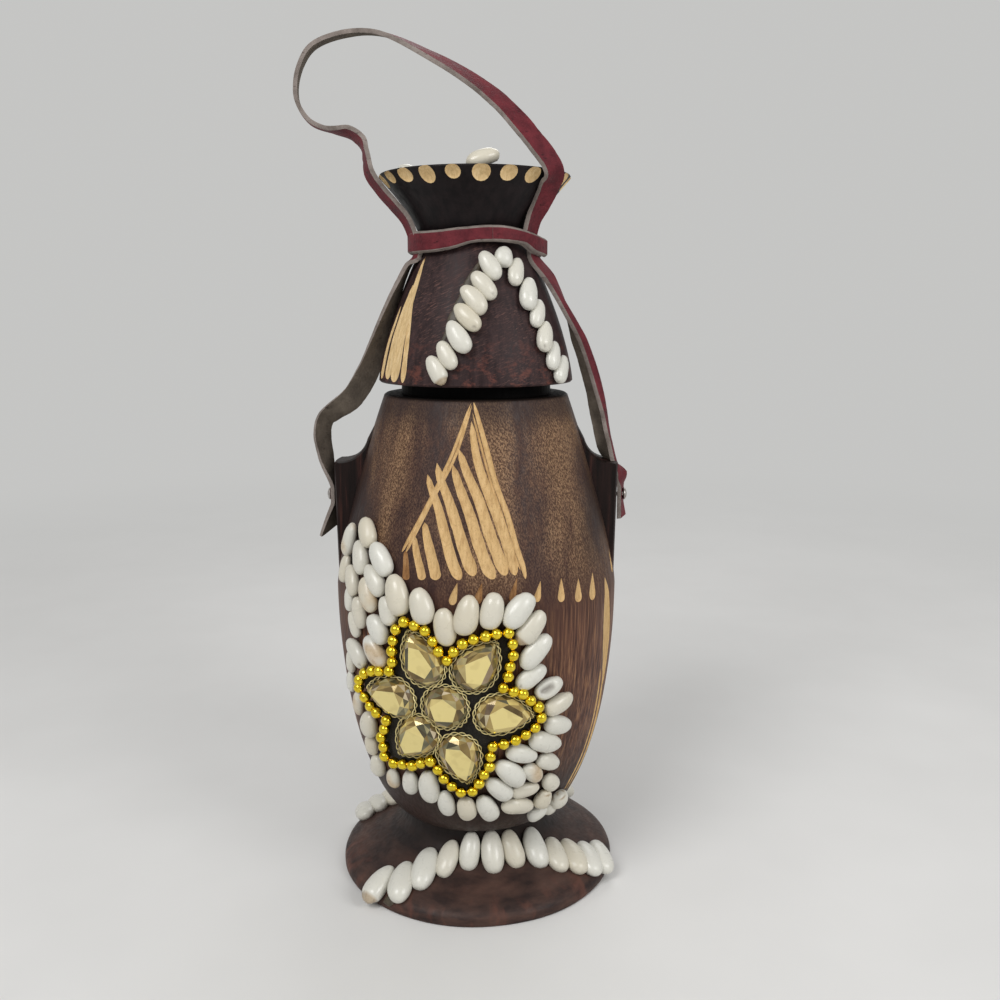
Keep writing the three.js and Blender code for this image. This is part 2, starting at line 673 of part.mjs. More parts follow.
// The black cloth under the flower
function flowerBacking() {
  const sides = PETALS * BACKING_SIDES;
  const rings = BACKING_RINGS;
  const points = [];
  const index = [];
  for (const lift of [BACKING_LIFT, BACKING_TOP]) {
    points.push(seat(potRadius, ...onFlower(0, 0), lift).at);
    for (let ring = 1; ring <= rings; ring += 1) {
      for (let side = 0; side < sides; side += 1) {
        const angle = PETAL_PHASE + (360 / sides) * side;
        const radius = (beadRadius(angle) + BACKING_MARGIN) * ring / rings;
        points.push(seat(potRadius, ...onFlower(angle, radius), lift).at);
      }
    }
  }
  const layer = points.length / 2;
  const corner = (top, ring, side) => top * layer + (ring ? 1 + (ring - 1) * sides + (side % sides) : 0);
  for (let side = 0; side < sides; side += 1) {
    for (let ring = 0; ring < rings; ring += 1) {
      const [a, b] = [corner(0, ring, side), corner(0, ring, side + 1)];
      const [c, d] = [corner(0, ring + 1, side), corner(0, ring + 1, side + 1)];
      index.push(a, d, c, a + layer, c + layer, d + layer);
      if (ring) index.push(a, b, d, a + layer, d + layer, b + layer);
    }
    const [low, next] = [corner(0, rings, side), corner(0, rings, side + 1)];
    index.push(low, next, next + layer, low, next + layer, low + layer);
  }
  const geometry = new THREE.BufferGeometry().setFromPoints(points);
  geometry.setIndex(index);
  return piece('flower_backing', geometry, FELT);
}

// Outline of a gem in its own plane: a pear with its point away from the flower's centre
function pearOutline(length, width, pointed) {
  return steps(0, 360, GEM_SIDES).slice(1).map((angle) => {
    const along = Math.cos(radians(angle));
    const taper = pointed ? 1 - PEAR_TAPER * (1 + along) * Math.abs(Math.sin(radians(angle))) : 1;
    return new THREE.Vector2(along * length / 2, Math.sin(radians(angle)) * taper * width / 2);
  });
}

function gemFrame(angle, radius, lift) {
  const place = seat(potRadius, ...onFlower(angle, radius), lift);
  const along = place.round.clone().multiplyScalar(Math.cos(radians(angle)))
    .addScaledVector(place.up, Math.sin(radians(angle)));
  const across = place.out.clone().cross(along);
  return new THREE.Matrix4().makeBasis(along, across, place.out).setPosition(place.at);
}

// A cut gem: straight girdle, sloping crown and flat table
function gem(name, outline, frame) {
  const levels = [[1, 0], [1, GEM_GIRDLE], [GEM_TABLE, GEM_HEIGHT]];
  const sides = outline.length;
  const points = levels.flatMap(([scale, height]) => outline.map(
    (point) => new THREE.Vector3(point.x * scale, point.y * scale, height),
  ));
  const index = [];
  for (let side = 0; side < sides; side += 1) {
    const next = (side + 1) % sides;
    for (const level of [0, sides]) {
      index.push(level + side, level + next, level + sides + next);
      index.push(level + side, level + sides + next, level + sides + side);
    }
    if (side > 0 && next > 0) {
      index.push(0, next, side, 2 * sides, 2 * sides + side, 2 * sides + next);
    }
  }
  const geometry = new THREE.BufferGeometry().setFromPoints(points);
  geometry.setIndex(index);
  return piece(name, geometry.applyMatrix4(frame), GEM);
}

// The gold cord sewn round a gem
function gemCord(name, outline, frame) {
  const margin = SEAT_GAP + CORD_DIAMETER / 2;
  const lift = CORD_DIAMETER / 2;
  return piece(name, sweep(outline.map((point) => {
    const out = new THREE.Vector3(point.x, point.y, 0).normalize();
    return {
      at: new THREE.Vector3(point.x, point.y, lift).addScaledVector(out, margin).applyMatrix4(frame),
      across: out.clone().transformDirection(frame).multiplyScalar(CORD_DIAMETER / 2),
      out: new THREE.Vector3(0, 0, 1).transformDirection(frame).multiplyScalar(CORD_DIAMETER / 2),
    };
  }), FLAT_SECTION, true), CORD);
}

// The gold beads on their thread, laid round the flower
function beadString() {
  const lift = BACKING_TOP + SEAT_GAP + BEAD_DIAMETER / 2;
  const route = new THREE.CatmullRomCurve3(steps(0, 360, PETALS * BEAD_ROUTE_STEPS).slice(1).map((turn) => {
    const angle = PETAL_PHASE + turn;
    return seat(potRadius, ...onFlower(angle, beadRadius(angle)), lift).at;
  }), true);
  const places = route.getSpacedPoints(PETALS * BEADS_PER_PETAL * BEAD_STATIONS).slice(1);
  const stations = places.map((at, i) => {
    const { out } = seat(potRadius, azimuthOf(at), at.z, 0);
    const along = places[(i + 1) % places.length].clone().sub(places.at(i - 1));
    const half = (i % BEAD_STATIONS === 0 ? THREAD : BEAD_DIAMETER) / 2;
    return { at, across: out.clone().cross(along).setLength(half), out: out.multiplyScalar(half) };
  });
  const section = steps(0, 360, BEAD_SIDES).slice(1)
    .map((angle) => [Math.cos(radians(angle)), Math.sin(radians(angle))]);
  return piece('bead_string', sweep(stations, section, true), GOLD);
}

function flowerPieces() {
  const pieces = [flowerBacking(), beadString()];
  const lift = BACKING_TOP + SEAT_GAP;
  const round = pearOutline(CENTRE_GEM, CENTRE_GEM, false);
  pieces.push(gem('gem_centre', round, gemFrame(0, 0, lift)));
  pieces.push(gemCord('gem_cord_centre', round, gemFrame(0, 0, lift)));
  for (let k = 0; k < PETALS; k += 1) {
    const frame = gemFrame(petalAngle(k), PETAL_RADIUS, lift);
    const pear = pearOutline(PETAL_LENGTH, PETAL_WIDTH, true);
    pieces.push(gem(`gem_petal_${k + 1}`, pear, frame));
    pieces.push(gemCord(`gem_cord_${k + 1}`, pear, frame));
  }
  return pieces;
}

// The shells that ring the flower, one row for each petal
function flowerShells() {
  return steps(0, PETALS - 1, PETALS - 1).map((k) => {
    const span = 180 / PETALS - RING_BREAK;
    const angles = steps(petalAngle(k) - span, petalAngle(k) + span, 2 * RING_SHELLS_PER_PETAL);
    const path = angles.map((angle) => onFlower(angle, ringRadius(angle)));
    const name = `flower_shells_${k + 1}`;
    return shellRow(name, potRadius, path, RING_SHELLS_PER_PETAL, RING_SHELL.length, RING_SHELL);
  });
}

// The columns of shells to the left of the flower and below it on the right
function bodyShells() {
  return BODY_COLUMNS.map(([name, ends, count]) => {
    const path = ends.map(([turn, rise]) => [FLOWER_AZIMUTH + turn, FLOWER_HEIGHT + rise]);
    return shellRow(name, potRadius, path, count, BODY_SHELL.width, BODY_SHELL);
  });
}

function footShells() {
  return FACES.map(([face, turn]) => {
    const path = FOOT_ARCH.map(([azimuth, height]) => [azimuth + turn, height]);
    return shellRow(`foot_shells_${face}`, potRadius, path, FOOT_SHELLS, FOOT_SHELL.length, FOOT_SHELL);
  });
}

// A chevron of shells on each face of the lid: the left leg lies across its line, the right leg along it
function lidShells() {
  return FACES.flatMap(([face, turn]) => {
    const onLid = ([azimuth, rise]) => [azimuth + turn, LID_BOTTOM + rise];
    const apex = shell(seat(lidRadius, ...onLid(LID_APEX), 0), LID_SHELL);
    const left = LID_LEFT_LEG.map(onLid);
    const right = LID_RIGHT_LEG.map(onLid);
    return [
      piece(`lid_${face}_shell_apex`, apex, SHELL),
      shellRow(`lid_${face}_shells_left`, lidRadius, left, LID_LEFT_SHELLS, LID_SHELL.length, LID_SHELL),
      shellRow(`lid_${face}_shells_right`, lidRadius, right, LID_RIGHT_SHELLS, LID_SHELL.width, LID_SHELL),
    ];
  });
}

function lidTopShells() {
  return steps(1, TOP_SHELLS, TOP_SHELLS - 1).map((k) => {
    const radial = outward(TOP_SHELL_AZIMUTH + (360 / TOP_SHELLS) * (k - 1));
    const round = new THREE.Vector3(-radial.y, radial.x, 0);
    const at = radial.clone().multiplyScalar(TOP_SHELL_RADIUS).setZ(LID_TOP);
    const place = { at, round: radial, up: round, out: new THREE.Vector3(0, 0, 1) };
    return piece(`lid_top_shell_${k}`, shell(place, TOP_SHELL), SHELL);
  });
}

const pot = new THREE.Group();
pot.add(
  piece('pot_body', potBody(), WOOD),
  ...flowerPieces(),
  ...flowerShells(),
  ...bodyShells(),
  ...footShells(),
);

const lid = new THREE.Group();
lid.add(piece('lid', lidBlock(), WOOD), ...lidShells(), ...lidTopShells());

const strap = new THREE.Group();
strap.add(
  strapRun('strap_left_run', -1, LEFT_BOW, LEFT_TAIL, LEFT_TAIL_FLARE),
  strapRun('strap_right_run', 1, RIGHT_BOW, RIGHT_TAIL, RIGHT_TAIL_FLARE),
  strapLoop(),
  collarBand(),
  tack('strap_tack_left', -1),
  tack('strap_tack_right', 1),
);

const honeyPot = new THREE.Group();
honeyPot.add(pot, lid, strap);

export default honeyPot;
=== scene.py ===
import math
import random
from collections import namedtuple

import bmesh
import bpy
from mathutils import Matrix, Vector, noise


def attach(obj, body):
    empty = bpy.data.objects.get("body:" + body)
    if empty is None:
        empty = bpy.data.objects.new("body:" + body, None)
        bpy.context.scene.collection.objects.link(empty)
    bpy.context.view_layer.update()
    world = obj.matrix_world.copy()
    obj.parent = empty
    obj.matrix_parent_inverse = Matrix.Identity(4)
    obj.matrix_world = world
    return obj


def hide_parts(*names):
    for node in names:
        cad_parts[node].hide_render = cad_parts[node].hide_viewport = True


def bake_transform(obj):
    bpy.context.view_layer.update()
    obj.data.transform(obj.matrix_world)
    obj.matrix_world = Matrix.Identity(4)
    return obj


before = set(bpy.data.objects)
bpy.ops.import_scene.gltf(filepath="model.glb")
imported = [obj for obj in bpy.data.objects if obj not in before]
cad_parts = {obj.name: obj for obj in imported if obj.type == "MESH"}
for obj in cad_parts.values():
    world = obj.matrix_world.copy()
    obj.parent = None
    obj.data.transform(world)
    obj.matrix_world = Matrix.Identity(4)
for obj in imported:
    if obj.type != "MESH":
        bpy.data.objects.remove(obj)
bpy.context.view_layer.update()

# Carved wooden honey pot: turned body and lid with pale cuts, glued shells, a gem flower and a strap.
# Forms are made in millimetres in the frame's own axes and written in metres. Azimuths are degrees round
# the axis, 0 at the front and positive towards +X.
MM = 0.001
SEED = 11
noise.seed_set(SEED)

# Camera of the photograph, a square image measured in pixels
IMAGE_CENTRE = 500
FOCAL_PIXELS = 1000
SENSOR = 36
CAMERA = Vector((9.54, -398.4, 231.0))
PITCH = math.radians(10.9)
NEAREST = 280
FARTHEST = 470
SIGHT_HALVINGS = 14
PIXEL_STATIONS = 60
LINE_FINENESS = 20

# Turned forms, as in the part's source
FOOT_RADIUS = 57
FOOT_EDGE = 2.5
FOOT_CHAMFER = 0.8
FOOT_DISH = 2.17
WAIST_RADIUS = 30
WAIST_HEIGHT = 25.5
BELLY_RADIUS = 56.5
BELLY_HEIGHT = 122
BELLY_FULLNESS = 0.56
SHOULDER_RADIUS = 36.1
SHOULDER_HEIGHT = 198
SHOULDER_BEND = 1.3
BODY_WALL = 9.5
FLOOR_HEIGHT = 35
FLOOR_ROUND = 6
MOUTH_DEPTH = 24
CAVITY_STEPS = 24
NECK_RADIUS = 29.5
NECK_TAPER = 1
NECK_TOP = 218
MOUTH_RADIUS = 22
LUG_WIDTH = 18
LUG_TOP = 171
LUG_FILLET = 12
LUG_SWEEP = 75
LUG_LEDGE = 1.8
LUG_RADIUS = 56.6
LUG_EDGE = 1
LUG_ROOT = 120
LUG_MEETS = 189
LUG_SUNK = 0.8
LUG_STEPS = 12
LUG_CURVE_STEPS = 10
LUG_ROUND = 0.3
LUG_SIDE_ROUND = 0.5
LID_BOTTOM = 202.6
SKIRT_RADIUS = 38.2
BELL_BEND = 1.4
LID_WAIST_RADIUS = 20.6
LID_WAIST = 254.6
FLARE_RADIUS = 36.6
FLARE_HEIGHT = 24.6
FLARE_BEND = 1.5
LID_TOP = 280
SOCKET_TOP = 218.3
SOCKET_CLEARANCE = 0.7
SOFT_EDGE = 0.6
TURNED_SIDES = 168
TURNED_STEP = 1.6
HAND_WAVE = 26
HAND_DEPTH = 0.22
SLOPE_REACH = 0.5

# Degrees over which an edge is crisp, and metres within which corners left by carving are one
SHARP = 40
CARVED_SHARP = 32
LEATHER_SHARP = 60
ALL_SMOOTH = 180
WELD = 2e-6

# Strap, collar band and tacks
STRAP_WIDTH = 8.5
STRAP_THICKNESS = 1.6
STRAP_AZIMUTH = 68
STRAP_GAP = 0.4
STRAP_CUP = 0.18
STRAP_TUCK = 3
SEAT_GAP = 0.3
COLLAR_FOOT = 250
COLLAR_TOP = 258
COLLAR_THICKNESS = 1.4
COLLAR_SIDE = 25.4
COLLAR_ARCH_AZIMUTH = 20
COLLAR_ARCH_BEND = 4
COLLAR_ARCH_RISES = (2.9, 2.2)
COLLAR_FOOT_RISE = 0.6
COLLAR_CLEAR = 0.9
COLLAR_EASE = 16
COLLAR_TILTS = (1.2, 0.5)
COLLAR_LAP = (16, 70)
COLLAR_LAP_GAP = 0.05
COLLAR_LAP_EASE = 6
COLLAR_LAP_LEAST = 0.2
COLLAR_LAP_STEPS = 24
COLLAR_END = 5
COLLAR_END_STEPS = 5
APEX_AZIMUTHS = (6, 43)
APEX_SPREADS = (24, 9)
APEX_PUSH = 2
LOOP_CLEAR = 1.8
LOOP_LEFT_CLEAR = 2.8
TACK_HEIGHT = 157
TACK_FLAT = 3.5
TACK_SIDES = 24
TACK_OUTLINE = [(0.3, -11), (0.9, -9), (0.9, 0), (2.3, 0), (2.45, 0.25), (2.35, 0.6), (1.9, 1), (1.1, 1.3),
                (0.3, 1.4)]

# Runs of the strap from the collar band down to the lugs, as x, y and z, twist in degrees, share of the
# strap's width, and degrees that its back part is folded over
LEFT_ROUTE = [
    (-24.9, -8.6, 247.4, 2, 1, 0), (-28.2, -8, 241.3, 8, 1, 0), (-34.6, -6.9, 226.1, 30, 1, 0),
    (-38.7, -6, 215.3, 46, 1.05, 0), (-42.3, -5, 206.7, 56, 1.1, 0), (-49, -4, 196.3, 66, 1.1, 0),
    (-56.6, -3, 190.7, 56, 1, 0), (-60, -2.6, 187.6, 44, 0.95, 0), (-61.5, -2, 182.2, 38, 1, 0),
    (-60.4, -1, 172.1, 28, 1.02, 0), (-58.5, 0, 164, 6, 1, 0),
]
RIGHT_ROUTE = [
    (28.6, -8, 241.6, 26, 1, 0), (36.2, -7, 228.4, 36, 1.05, 45), (40.8, -6, 219, 44, 1.15, 95),
    (44.3, -5.3, 209.8, 48, 1.2, 108), (47.6, -4.5, 198.8, 44, 1.2, 112),
    (49.3, -3.7, 190.8, 28, 1.15, 118), (51.7, -2.5, 179.3, 18, 1.1, 112),
    (54.2, -1.5, 172, 22, 1.05, 60), (58.2, -0.5, 164.5, 36, 1, 0),
]

# Tails below the tacks, as drop and flare in millimetres, twist in degrees and slant of the cut end
LEFT_TAIL = (15, 2.6, 36, 2.6)
RIGHT_TAIL = (9.5, 0.6, 22, 0)
RIGHT_TACK_TWIST = 14
RIGHT_TACK_LIFT = 0.6
FOLD_AT = 0.25
FOLD_SOFT = 0.14
SLANT_REACH = 8
STRIP_WIDES = [-1, -0.7, -0.4, -0.1, 0.1, 0.2, 0.3, 0.42, 0.7, 1]
SKIVE = 0.4
COLLAR_SKIVE = 0.9
EDGE_REACH = 0.9
EDGE_LEVEL = 0.5
FRAY = 0.05
FRAY_SPAN = 7
FRAY_FINENESS = 1.3
RUN_STATIONS = 120
LOOP_STATIONS = 240
COLLAR_STATIONS = 120

# The loop beside the lid's flare, as share of the way up, azimuth and clearance on the left, and azimuth and
# twist on the right; then over the lid, as x, y, height above the lid's top and twist
LOOP_RIGHT_AZIMUTH = 56
LOOP_FLARE = [(0.3, 68, 4.2, 56, 46), (0.62, 68, 5, 53, 50), (0.95, 67, 4.2, 47, 52)]
LOOP_ROUTE = [(-39.6, -15, 5.6, 16), (-41.2, -11, 10.4, 20), (-46, -6, 14.6, 20), (-55, -2, 16.8, -4),
              (-62.4, 0, 20.2, 2), (-66.6, 0, 26.4, 6), (-67.2, 0, 32.4, 7), (-65, -1, 39.8, 6),
              (-59.8, -3, 46, 5), (-47.2, -5, 49.9, 5), (-34.2, -8, 49.2, 10), (-15.8, -13, 40.6, 24),
              (-1.3, -18, 31.7, 36), (9.5, -23, 22.8, 46), (20, -27.5, 11, 54)]

# Flower
PETALS = 6
PETAL_LENGTH = 20.6
PETAL_WIDTH = 14.9
CENTRE_GEM = 16
GEM_HEIGHT = 4.4
PEAR_FULLNESS = 0.83
PEAR_POINT = 0.62
BACKING_LIFT = 0.7
BACKING_TOP = 1.9
BACKING_RINGS = 9
BACKING_MIDDLE = 0.05
BEAD_DIAMETER = 4.3
BEAD_SIDES = 14
BEAD_RINGS = 10
BEAD_SPREAD = (0.96, 1.04)
BEAD_END = 73
BEAD_HOLE = (0.28, 0.7)
BEAD_TILT = 0.3
THREAD_RADIUS = 0.2
WIRE_RADIUS = 0.22
WIRE_SPREAD = 0.5
WIRE_TWISTS = 10
WIRE_SIDES = 6
WIRE_STEPS = 12
WIRE_LIFT = 0.7

# Shells read on the photograph: pixel across and down, lean from upright in degrees, length and width in
# pixels, and what shows on it where it isn't plain
RING_SHELLS = [
    (398, 595, -12, 43, 25), (422, 606, -14, 38, 25), (445, 627, -8, 38, 23),
    (467, 615, 12, 41, 25), (492, 611, 12, 38, 24), (518, 610, 38, 42, 25),
    (531, 628, 39, 42, 22, "chipped"), (535, 651, 40, 43, 22), (531, 677, 54, 36, 20, "holed"),
    (549, 688, 59, 31, 20, "open"), (559, 704, 59, 32, 20), (558, 725, 95, 28, 20),
    (545, 742, 102, 32, 19), (522, 754, 100, 31, 19), (487, 808, -30, 29, 20),
    (467, 809, -10, 24, 20), (446, 804, -12, 26, 18), (429, 786, -5, 32, 20),
    (410, 783, 0, 24, 18), (392, 779, 0, 20, 16, "stained"), (377, 766, 0, 21, 19),
    (370, 745, 0, 20, 17), (369, 724, 0, 23, 22), (356, 704, 0, 22, 15, "stained"),
    (348, 682, 0, 20, 13), (348, 662, 0, 22, 13), (356, 653, -30, 33, 20, "holed"),
    (375, 652, -32, 36, 22, "stained"), (378, 629, -25, 33, 22), (387, 611, -18, 31, 19),
]
RIGHT_SHELLS = [
    (549, 762, 105, 24, 18), (510, 772, -52, 33, 20), (533, 773, -50, 22, 18, "stained"),
    (551, 783, -45, 20, 18), (499, 789, -52, 29, 19), (526, 791, 75, 29, 16),
    (543, 799, 20, 18, 20, "spiral"), (559, 799, 0, 16, 22, "spiral"), (518, 806, 90, 31, 16),
    (538, 814, 60, 22, 18), (551.5, 808, 30, 15, 17, "spiral"),
]
LEFT_SHELLS = [
    (348, 539, 13, 34, 17, "stained"), (367, 532, -12, 30, 21), (360, 557, -7, 35, 18),
    (381, 559, -25, 36, 22), (343, 568, 10, 29, 15), (351, 580, -8, 32, 16),
    (374, 580, -25, 34, 20), (367, 595, -14, 36, 18, "stained"), (347, 599, 0, 25, 14),
    (358, 613, -10, 33, 16), (352, 625, -15, 27, 14),
]
FOOT_SHELLS = [
    (379, 885, 37, 44, 20, "chipped"), (402, 883, 17, 41, 21), (425, 870, 19, 43, 21),
    (448, 859, 20, 39, 20), (470, 851, 7, 38, 20), (492, 852, -6, 42, 22),
    (512, 849, -19, 39, 19), (534, 848, -19, 43, 22), (555, 855, -22, 36, 17),
    (573, 857, -30, 38, 17), (588, 859, -26, 36, 15), (600, 857, -23, 34, 14),
]
LID_APEX_SHELLS = [(504, 256.4, -3, 20, 19)]
LID_LEFT_SHELLS = [
    (490, 265, -31, 32, 19), (484, 285, -39, 34, 17, "holed"), (474, 299, -39, 35, 17),
    (467, 317, -43, 34, 16, "holed"), (458, 337, -32, 36, 20), (446, 355, -27, 31, 17),
    (436, 370, -27, 32, 16, "chipped"),
]
LID_RIGHT_SHELLS = [
    (517, 271, 8, 27, 16), (529, 293, 2, 32, 17), (539, 313, 7, 27, 16),
    (546, 336, 5, 30, 16, "holed"), (555, 355, 6, 28, 15), (563, 369, 13, 27, 14),
]

SIDE_ROWS = 3
SHELL_SIDES = 24
SHELL_RINGS = 18
SHELL_EGG = (0.04, 0.15)
SHELL_BLUNT = 2.3
SHELL_HEIGHT = 0.86
SHELL_FLAT = 0.16
SHELL_SINK = 0.5
SHELL_LIFT = 2.6
SHELL_BEND = 0.06
SHELL_TINT = 0.8
SHELL_LEAN = 0.5
SHELL_DRIFT = 50
SHELL_UNEVEN = 0.16
SHELL_UNEVEN_SPAN = 4
SHELL_LEAST_WIDTH = 0.54
SHELL_MOST_STRETCH = 1.25
LEAST_FACING = 0.45
FLATTEST = 0.72
TOP_SHELL_SIZE = (12.5, 8)
TOP_SHELL_RADIUS = 29.5
TOP_SHELL_AZIMUTHS = [9, 127, 245]
TOP_SHELL_TILT = 20
TOP_SHELL_SINK = 0.8

# What shows on a shell, at shares of its half length and angles in radians from its upper side
WHORL_FROM = 0.5
WHORL_TURN = 9
WHORL_CREST = 6
WHORL_DEPTH = 0.09
WHORL_MARKS = (0.8, 0.4)
OPEN_AT = -0.25
OPEN_SIZE = 0.55
OPEN_DEPTH = 0.7
OPEN_DARK = 0.6
HOLE_AT = -0.8
HOLE_SIZE = (0.3, 0.1)
HOLE_EDGE = 1.2
HOLE_DEPTH = 0.2
HOLE_DARK = 0.6
CHIP_FROM = -0.72
CHIP_GIRTH = 0.8
CHIP_UNEVEN = 0.25
CHIP_FINENESS = 3
CHIP_MARKS = (0.7, 0.3)
STAIN = 0.8
STAIN_CONTRAST = 1.5
STAIN_SPAN = 5
STAIN_LEVEL = 0.4
STAIN_FALL = 0.6

# Gems read on the photograph, in the order of the petals, and the centre
PETAL_PIXELS = [(504.9, 715.2), (478.1, 666.6), (419.5, 659.6), (388.9, 696.1), (413.7, 738.4),
                (460.2, 759.1)]
CENTRE_PIXEL = (444.4, 708.1)

# Beads read on the photograph, round from the top left
BEAD_PIXELS = [
    (404, 622), (414.5, 625.5), (425, 631), (432.5, 641.5), (438.5, 651.5), (447, 660.5), (453.5, 652),
    (462.5, 644), (473.5, 639.5), (485.5, 636.5), (496.5, 634), (508.5, 633), (512.5, 644), (513, 655.5),
    (510, 666.5), (508, 676.5), (503, 688), (513.5, 691.5), (523, 694), (530.5, 700.5), (538.5, 707),
    (541, 717.5), (535, 727.5), (525.5, 734.5), (515.5, 740), (503.5, 744), (492.5, 746.5), (490.5, 756.5),
    (489.5, 766.5), (484, 774.5), (479, 783.5), (472.5, 791), (461, 792), (452, 786), (444, 778.5),
    (438, 769.5), (430.5, 761), (421, 763), (412.5, 765.5), (403, 764), (394, 763), (385, 756),
    (384, 746.5), (381.5, 737), (384.5, 729), (386.5, 720.5), (376.5, 712.5), (370.5, 706), (365, 697),
    (359, 687.5), (359.5, 680), (364.5, 673.5), (372, 671), (379.5, 671), (389.5, 671), (392.5, 662),
    (392, 651), (393, 640.5), (396, 629.5),
]

# Cuts read on the photograph, as pixels from the foot of a cut to its point, and its width in millimetres
GOUGES = [
    (((422.6, 580), (419.5, 566), (415.8, 549), (414.8, 536.5)), 3.5),
    (((436.5, 580), (433, 563.5), (429.5, 549), (426.5, 535), (424.6, 522.5)), 4.4),
    (((460, 580), (452.5, 563), (445, 535), (438, 507), (430.5, 486), (427.6, 474.5)), 4.3),
    (((474.3, 576), (466, 556), (457.4, 528), (448.5, 500), (439.5, 476), (437, 463)), 4.6),
    (((494.2, 579), (487.3, 567), (478, 542), (469.5, 514), (459, 486), (452.7, 464.5)), 4.7),
    (((506, 575.5), (501, 563), (490, 535), (478.7, 500), (466.5, 472), (458.7, 449)), 4.6),
    (((515.4, 575.5), (510.7, 556), (501.8, 528), (488, 493), (476.7, 458), (471.4, 421.5)), 4.2),
]
STAINED_GOUGES = [(((406, 580), (406, 566), (405.5, 551)), 3)]
LINES = [
    (((402, 552), (428.6, 503), (451.7, 455.5), (471, 403)), 1.4),
    (((405.6, 553), (432.4, 500), (454.6, 458), (472, 405)), 1.3),
    (((525.7, 579), (523.5, 567.7), (516.5, 547), (507, 514.3), (496, 484.5), (486.5, 449), (472.7, 399)),
     2.2),
    (((520.5, 570), (512.6, 549), (501.6, 514.3), (491.4, 484), (481.8, 449), (472.3, 412)), 1),
]
SIDE_LINES = [
    (((564.5, 789), (580.5, 758.5), (589.5, 733), (597, 702.5), (600.5, 668)), 2),
    (((569, 788), (586.5, 756), (595.5, 730), (602, 704)), 3.2),
]
SIDE_EVENING = 16
LEAVES = [
    (((602.5, 684), (606, 648), (607.3, 612), (605.5, 577)), 9),
    (((566.5, 789), (583.5, 758), (592.5, 732), (599.5, 703), (602.5, 675)), 5),
]
DROPS = [
    (((451.5, 605), (457.2, 583)), 4), (((536.7, 602), (540.7, 581)), 3.6),
    (((561.3, 602), (561.3, 578)), 4.2), (((578.4, 602), (578.4, 578.5)), 4.8),
    (((592.5, 600), (592.5, 573)), 5.4),
]
STAINED_DROPS = [(((477, 604), (482, 583)), 3.8), (((511.5, 602), (517, 578)), 3.6)]
DROP_WIDTH = 4.4
DROP_AZIMUTHS = [77, *range(104, 260, 10)]
DROP_HEIGHTS = (127.5, 136.5)
FAN_STROKES = [
    (((402.3, 383), (407.6, 337.5), (413.2, 295), (425.6, 257)), 3),
    (((393, 382), (404, 325), (424, 259)), 6.8),
    (((386.5, 379), (396, 335), (413, 285)), 6.4), (((381, 378), (388, 345), (401, 306)), 5.4),
]
FAN_TURN = 165
CUT_DEPTH = 0.7
LINE_DEPTH = 0.45
CUT_ABOVE = 1.2
CUT_STATIONS = 24
CUT_SIDES = 8
CUT_EASE = 1.6
CUT_ROUND = 0.1
CUT_FLATNESS = 4
CUT_FLARE = 1.1
CUT_WIDTH_WAVER = (0.1, 3)
CUT_DEPTH_WAVER = (0.25, 5)
LEAF_FULLNESS = 0.7
GOUGE_POINT = 0.24
LINE_POINT = 0.12
DROP_POINT = 0.8
DROP_ROUND = 0.34
FAN_POINT = 0.45
LEAST_CUT = 0.04
RIM_NOTCHES = 22
RIM_NOTCH_AZIMUTH = 5
RIM_NOTCH_HEIGHT = 277.6
RIM_NOTCH_SIZE = (7, 7.2)
RIM_NOTCH_DEPTH = 1.2
RIM_NOTCH_STRAY = 0.3
RIM_NOTCH_SPREAD = (0.8, 1.14)
RIM_NOTCH_LEVELS = [(0.2, -1), (0.55, -0.86), (0.82, -0.52), (1, 0), (1.06, 0.8)]

# Glue that shows, as pixels along its middle, and its width and thickness in millimetres
LID_GLUE = [(((482, 258), (470, 284), (455, 316), (440, 348)), 5, 0.5)]
FOOT_GLUE = [(((384, 902), (390, 900), (396, 897)), 4, 0.7)]
BODY_GLUE = [(((560, 794), (563, 792), (566, 789)), 2.4, 0.6)]
GLUE_STATIONS = 20
GLUE_SIDES = 8
GLUE_WAVER = (0.4, 4)
GLUE_SINK = 0.2


# Small helpers

def lerp(low, high, share):
    return low + (high - low) * share


def steps(low, high, count):
    return [lerp(low, high, k / count) for k in range(count + 1)]


def clamp(value, low=0.0, high=1.0):
    return max(low, min(high, value))


def waver(at, depth, span):
    """About 1, more or less by up to depth over spans in millimetres."""
    return 1 + depth * noise.noise(at / span)


def outward(azimuth):
    turn = math.radians(azimuth)
    return Vector((math.sin(turn), -math.cos(turn), 0))


def azimuth_of(point):
    return math.degrees(math.atan2(point.x, -point.y))


def pot_radius(height):
    """Outer radius of the pot: foot, lower body, then shoulder."""
    if height <= FOOT_EDGE:
        return FOOT_RADIUS
    if height <= WAIST_HEIGHT:
        share = (height - FOOT_EDGE) / (WAIST_HEIGHT - FOOT_EDGE)
        return lerp(WAIST_RADIUS, FOOT_RADIUS, ((1 + math.cos(math.pi * share)) / 2) ** FOOT_DISH)
    if height <= BELLY_HEIGHT:
        left = (BELLY_HEIGHT - height) / (BELLY_HEIGHT - WAIST_HEIGHT)
        return lerp(WAIST_RADIUS, BELLY_RADIUS, (1 - left * left) ** BELLY_FULLNESS)
    share = min((height - BELLY_HEIGHT) / (SHOULDER_HEIGHT - BELLY_HEIGHT), 1)
    return lerp(BELLY_RADIUS, SHOULDER_RADIUS, share ** SHOULDER_BEND)


def lid_radius(height):
    """Outer radius of the lid: bell, then flare."""
    if height <= LID_WAIST:
        share = max((height - LID_BOTTOM) / (LID_WAIST - LID_BOTTOM), 0)
        return lerp(SKIRT_RADIUS, LID_WAIST_RADIUS, share ** BELL_BEND)
    share = min((height - LID_WAIST) / FLARE_HEIGHT, 1)
    return lerp(LID_WAIST_RADIUS, FLARE_RADIUS, share ** FLARE_BEND)


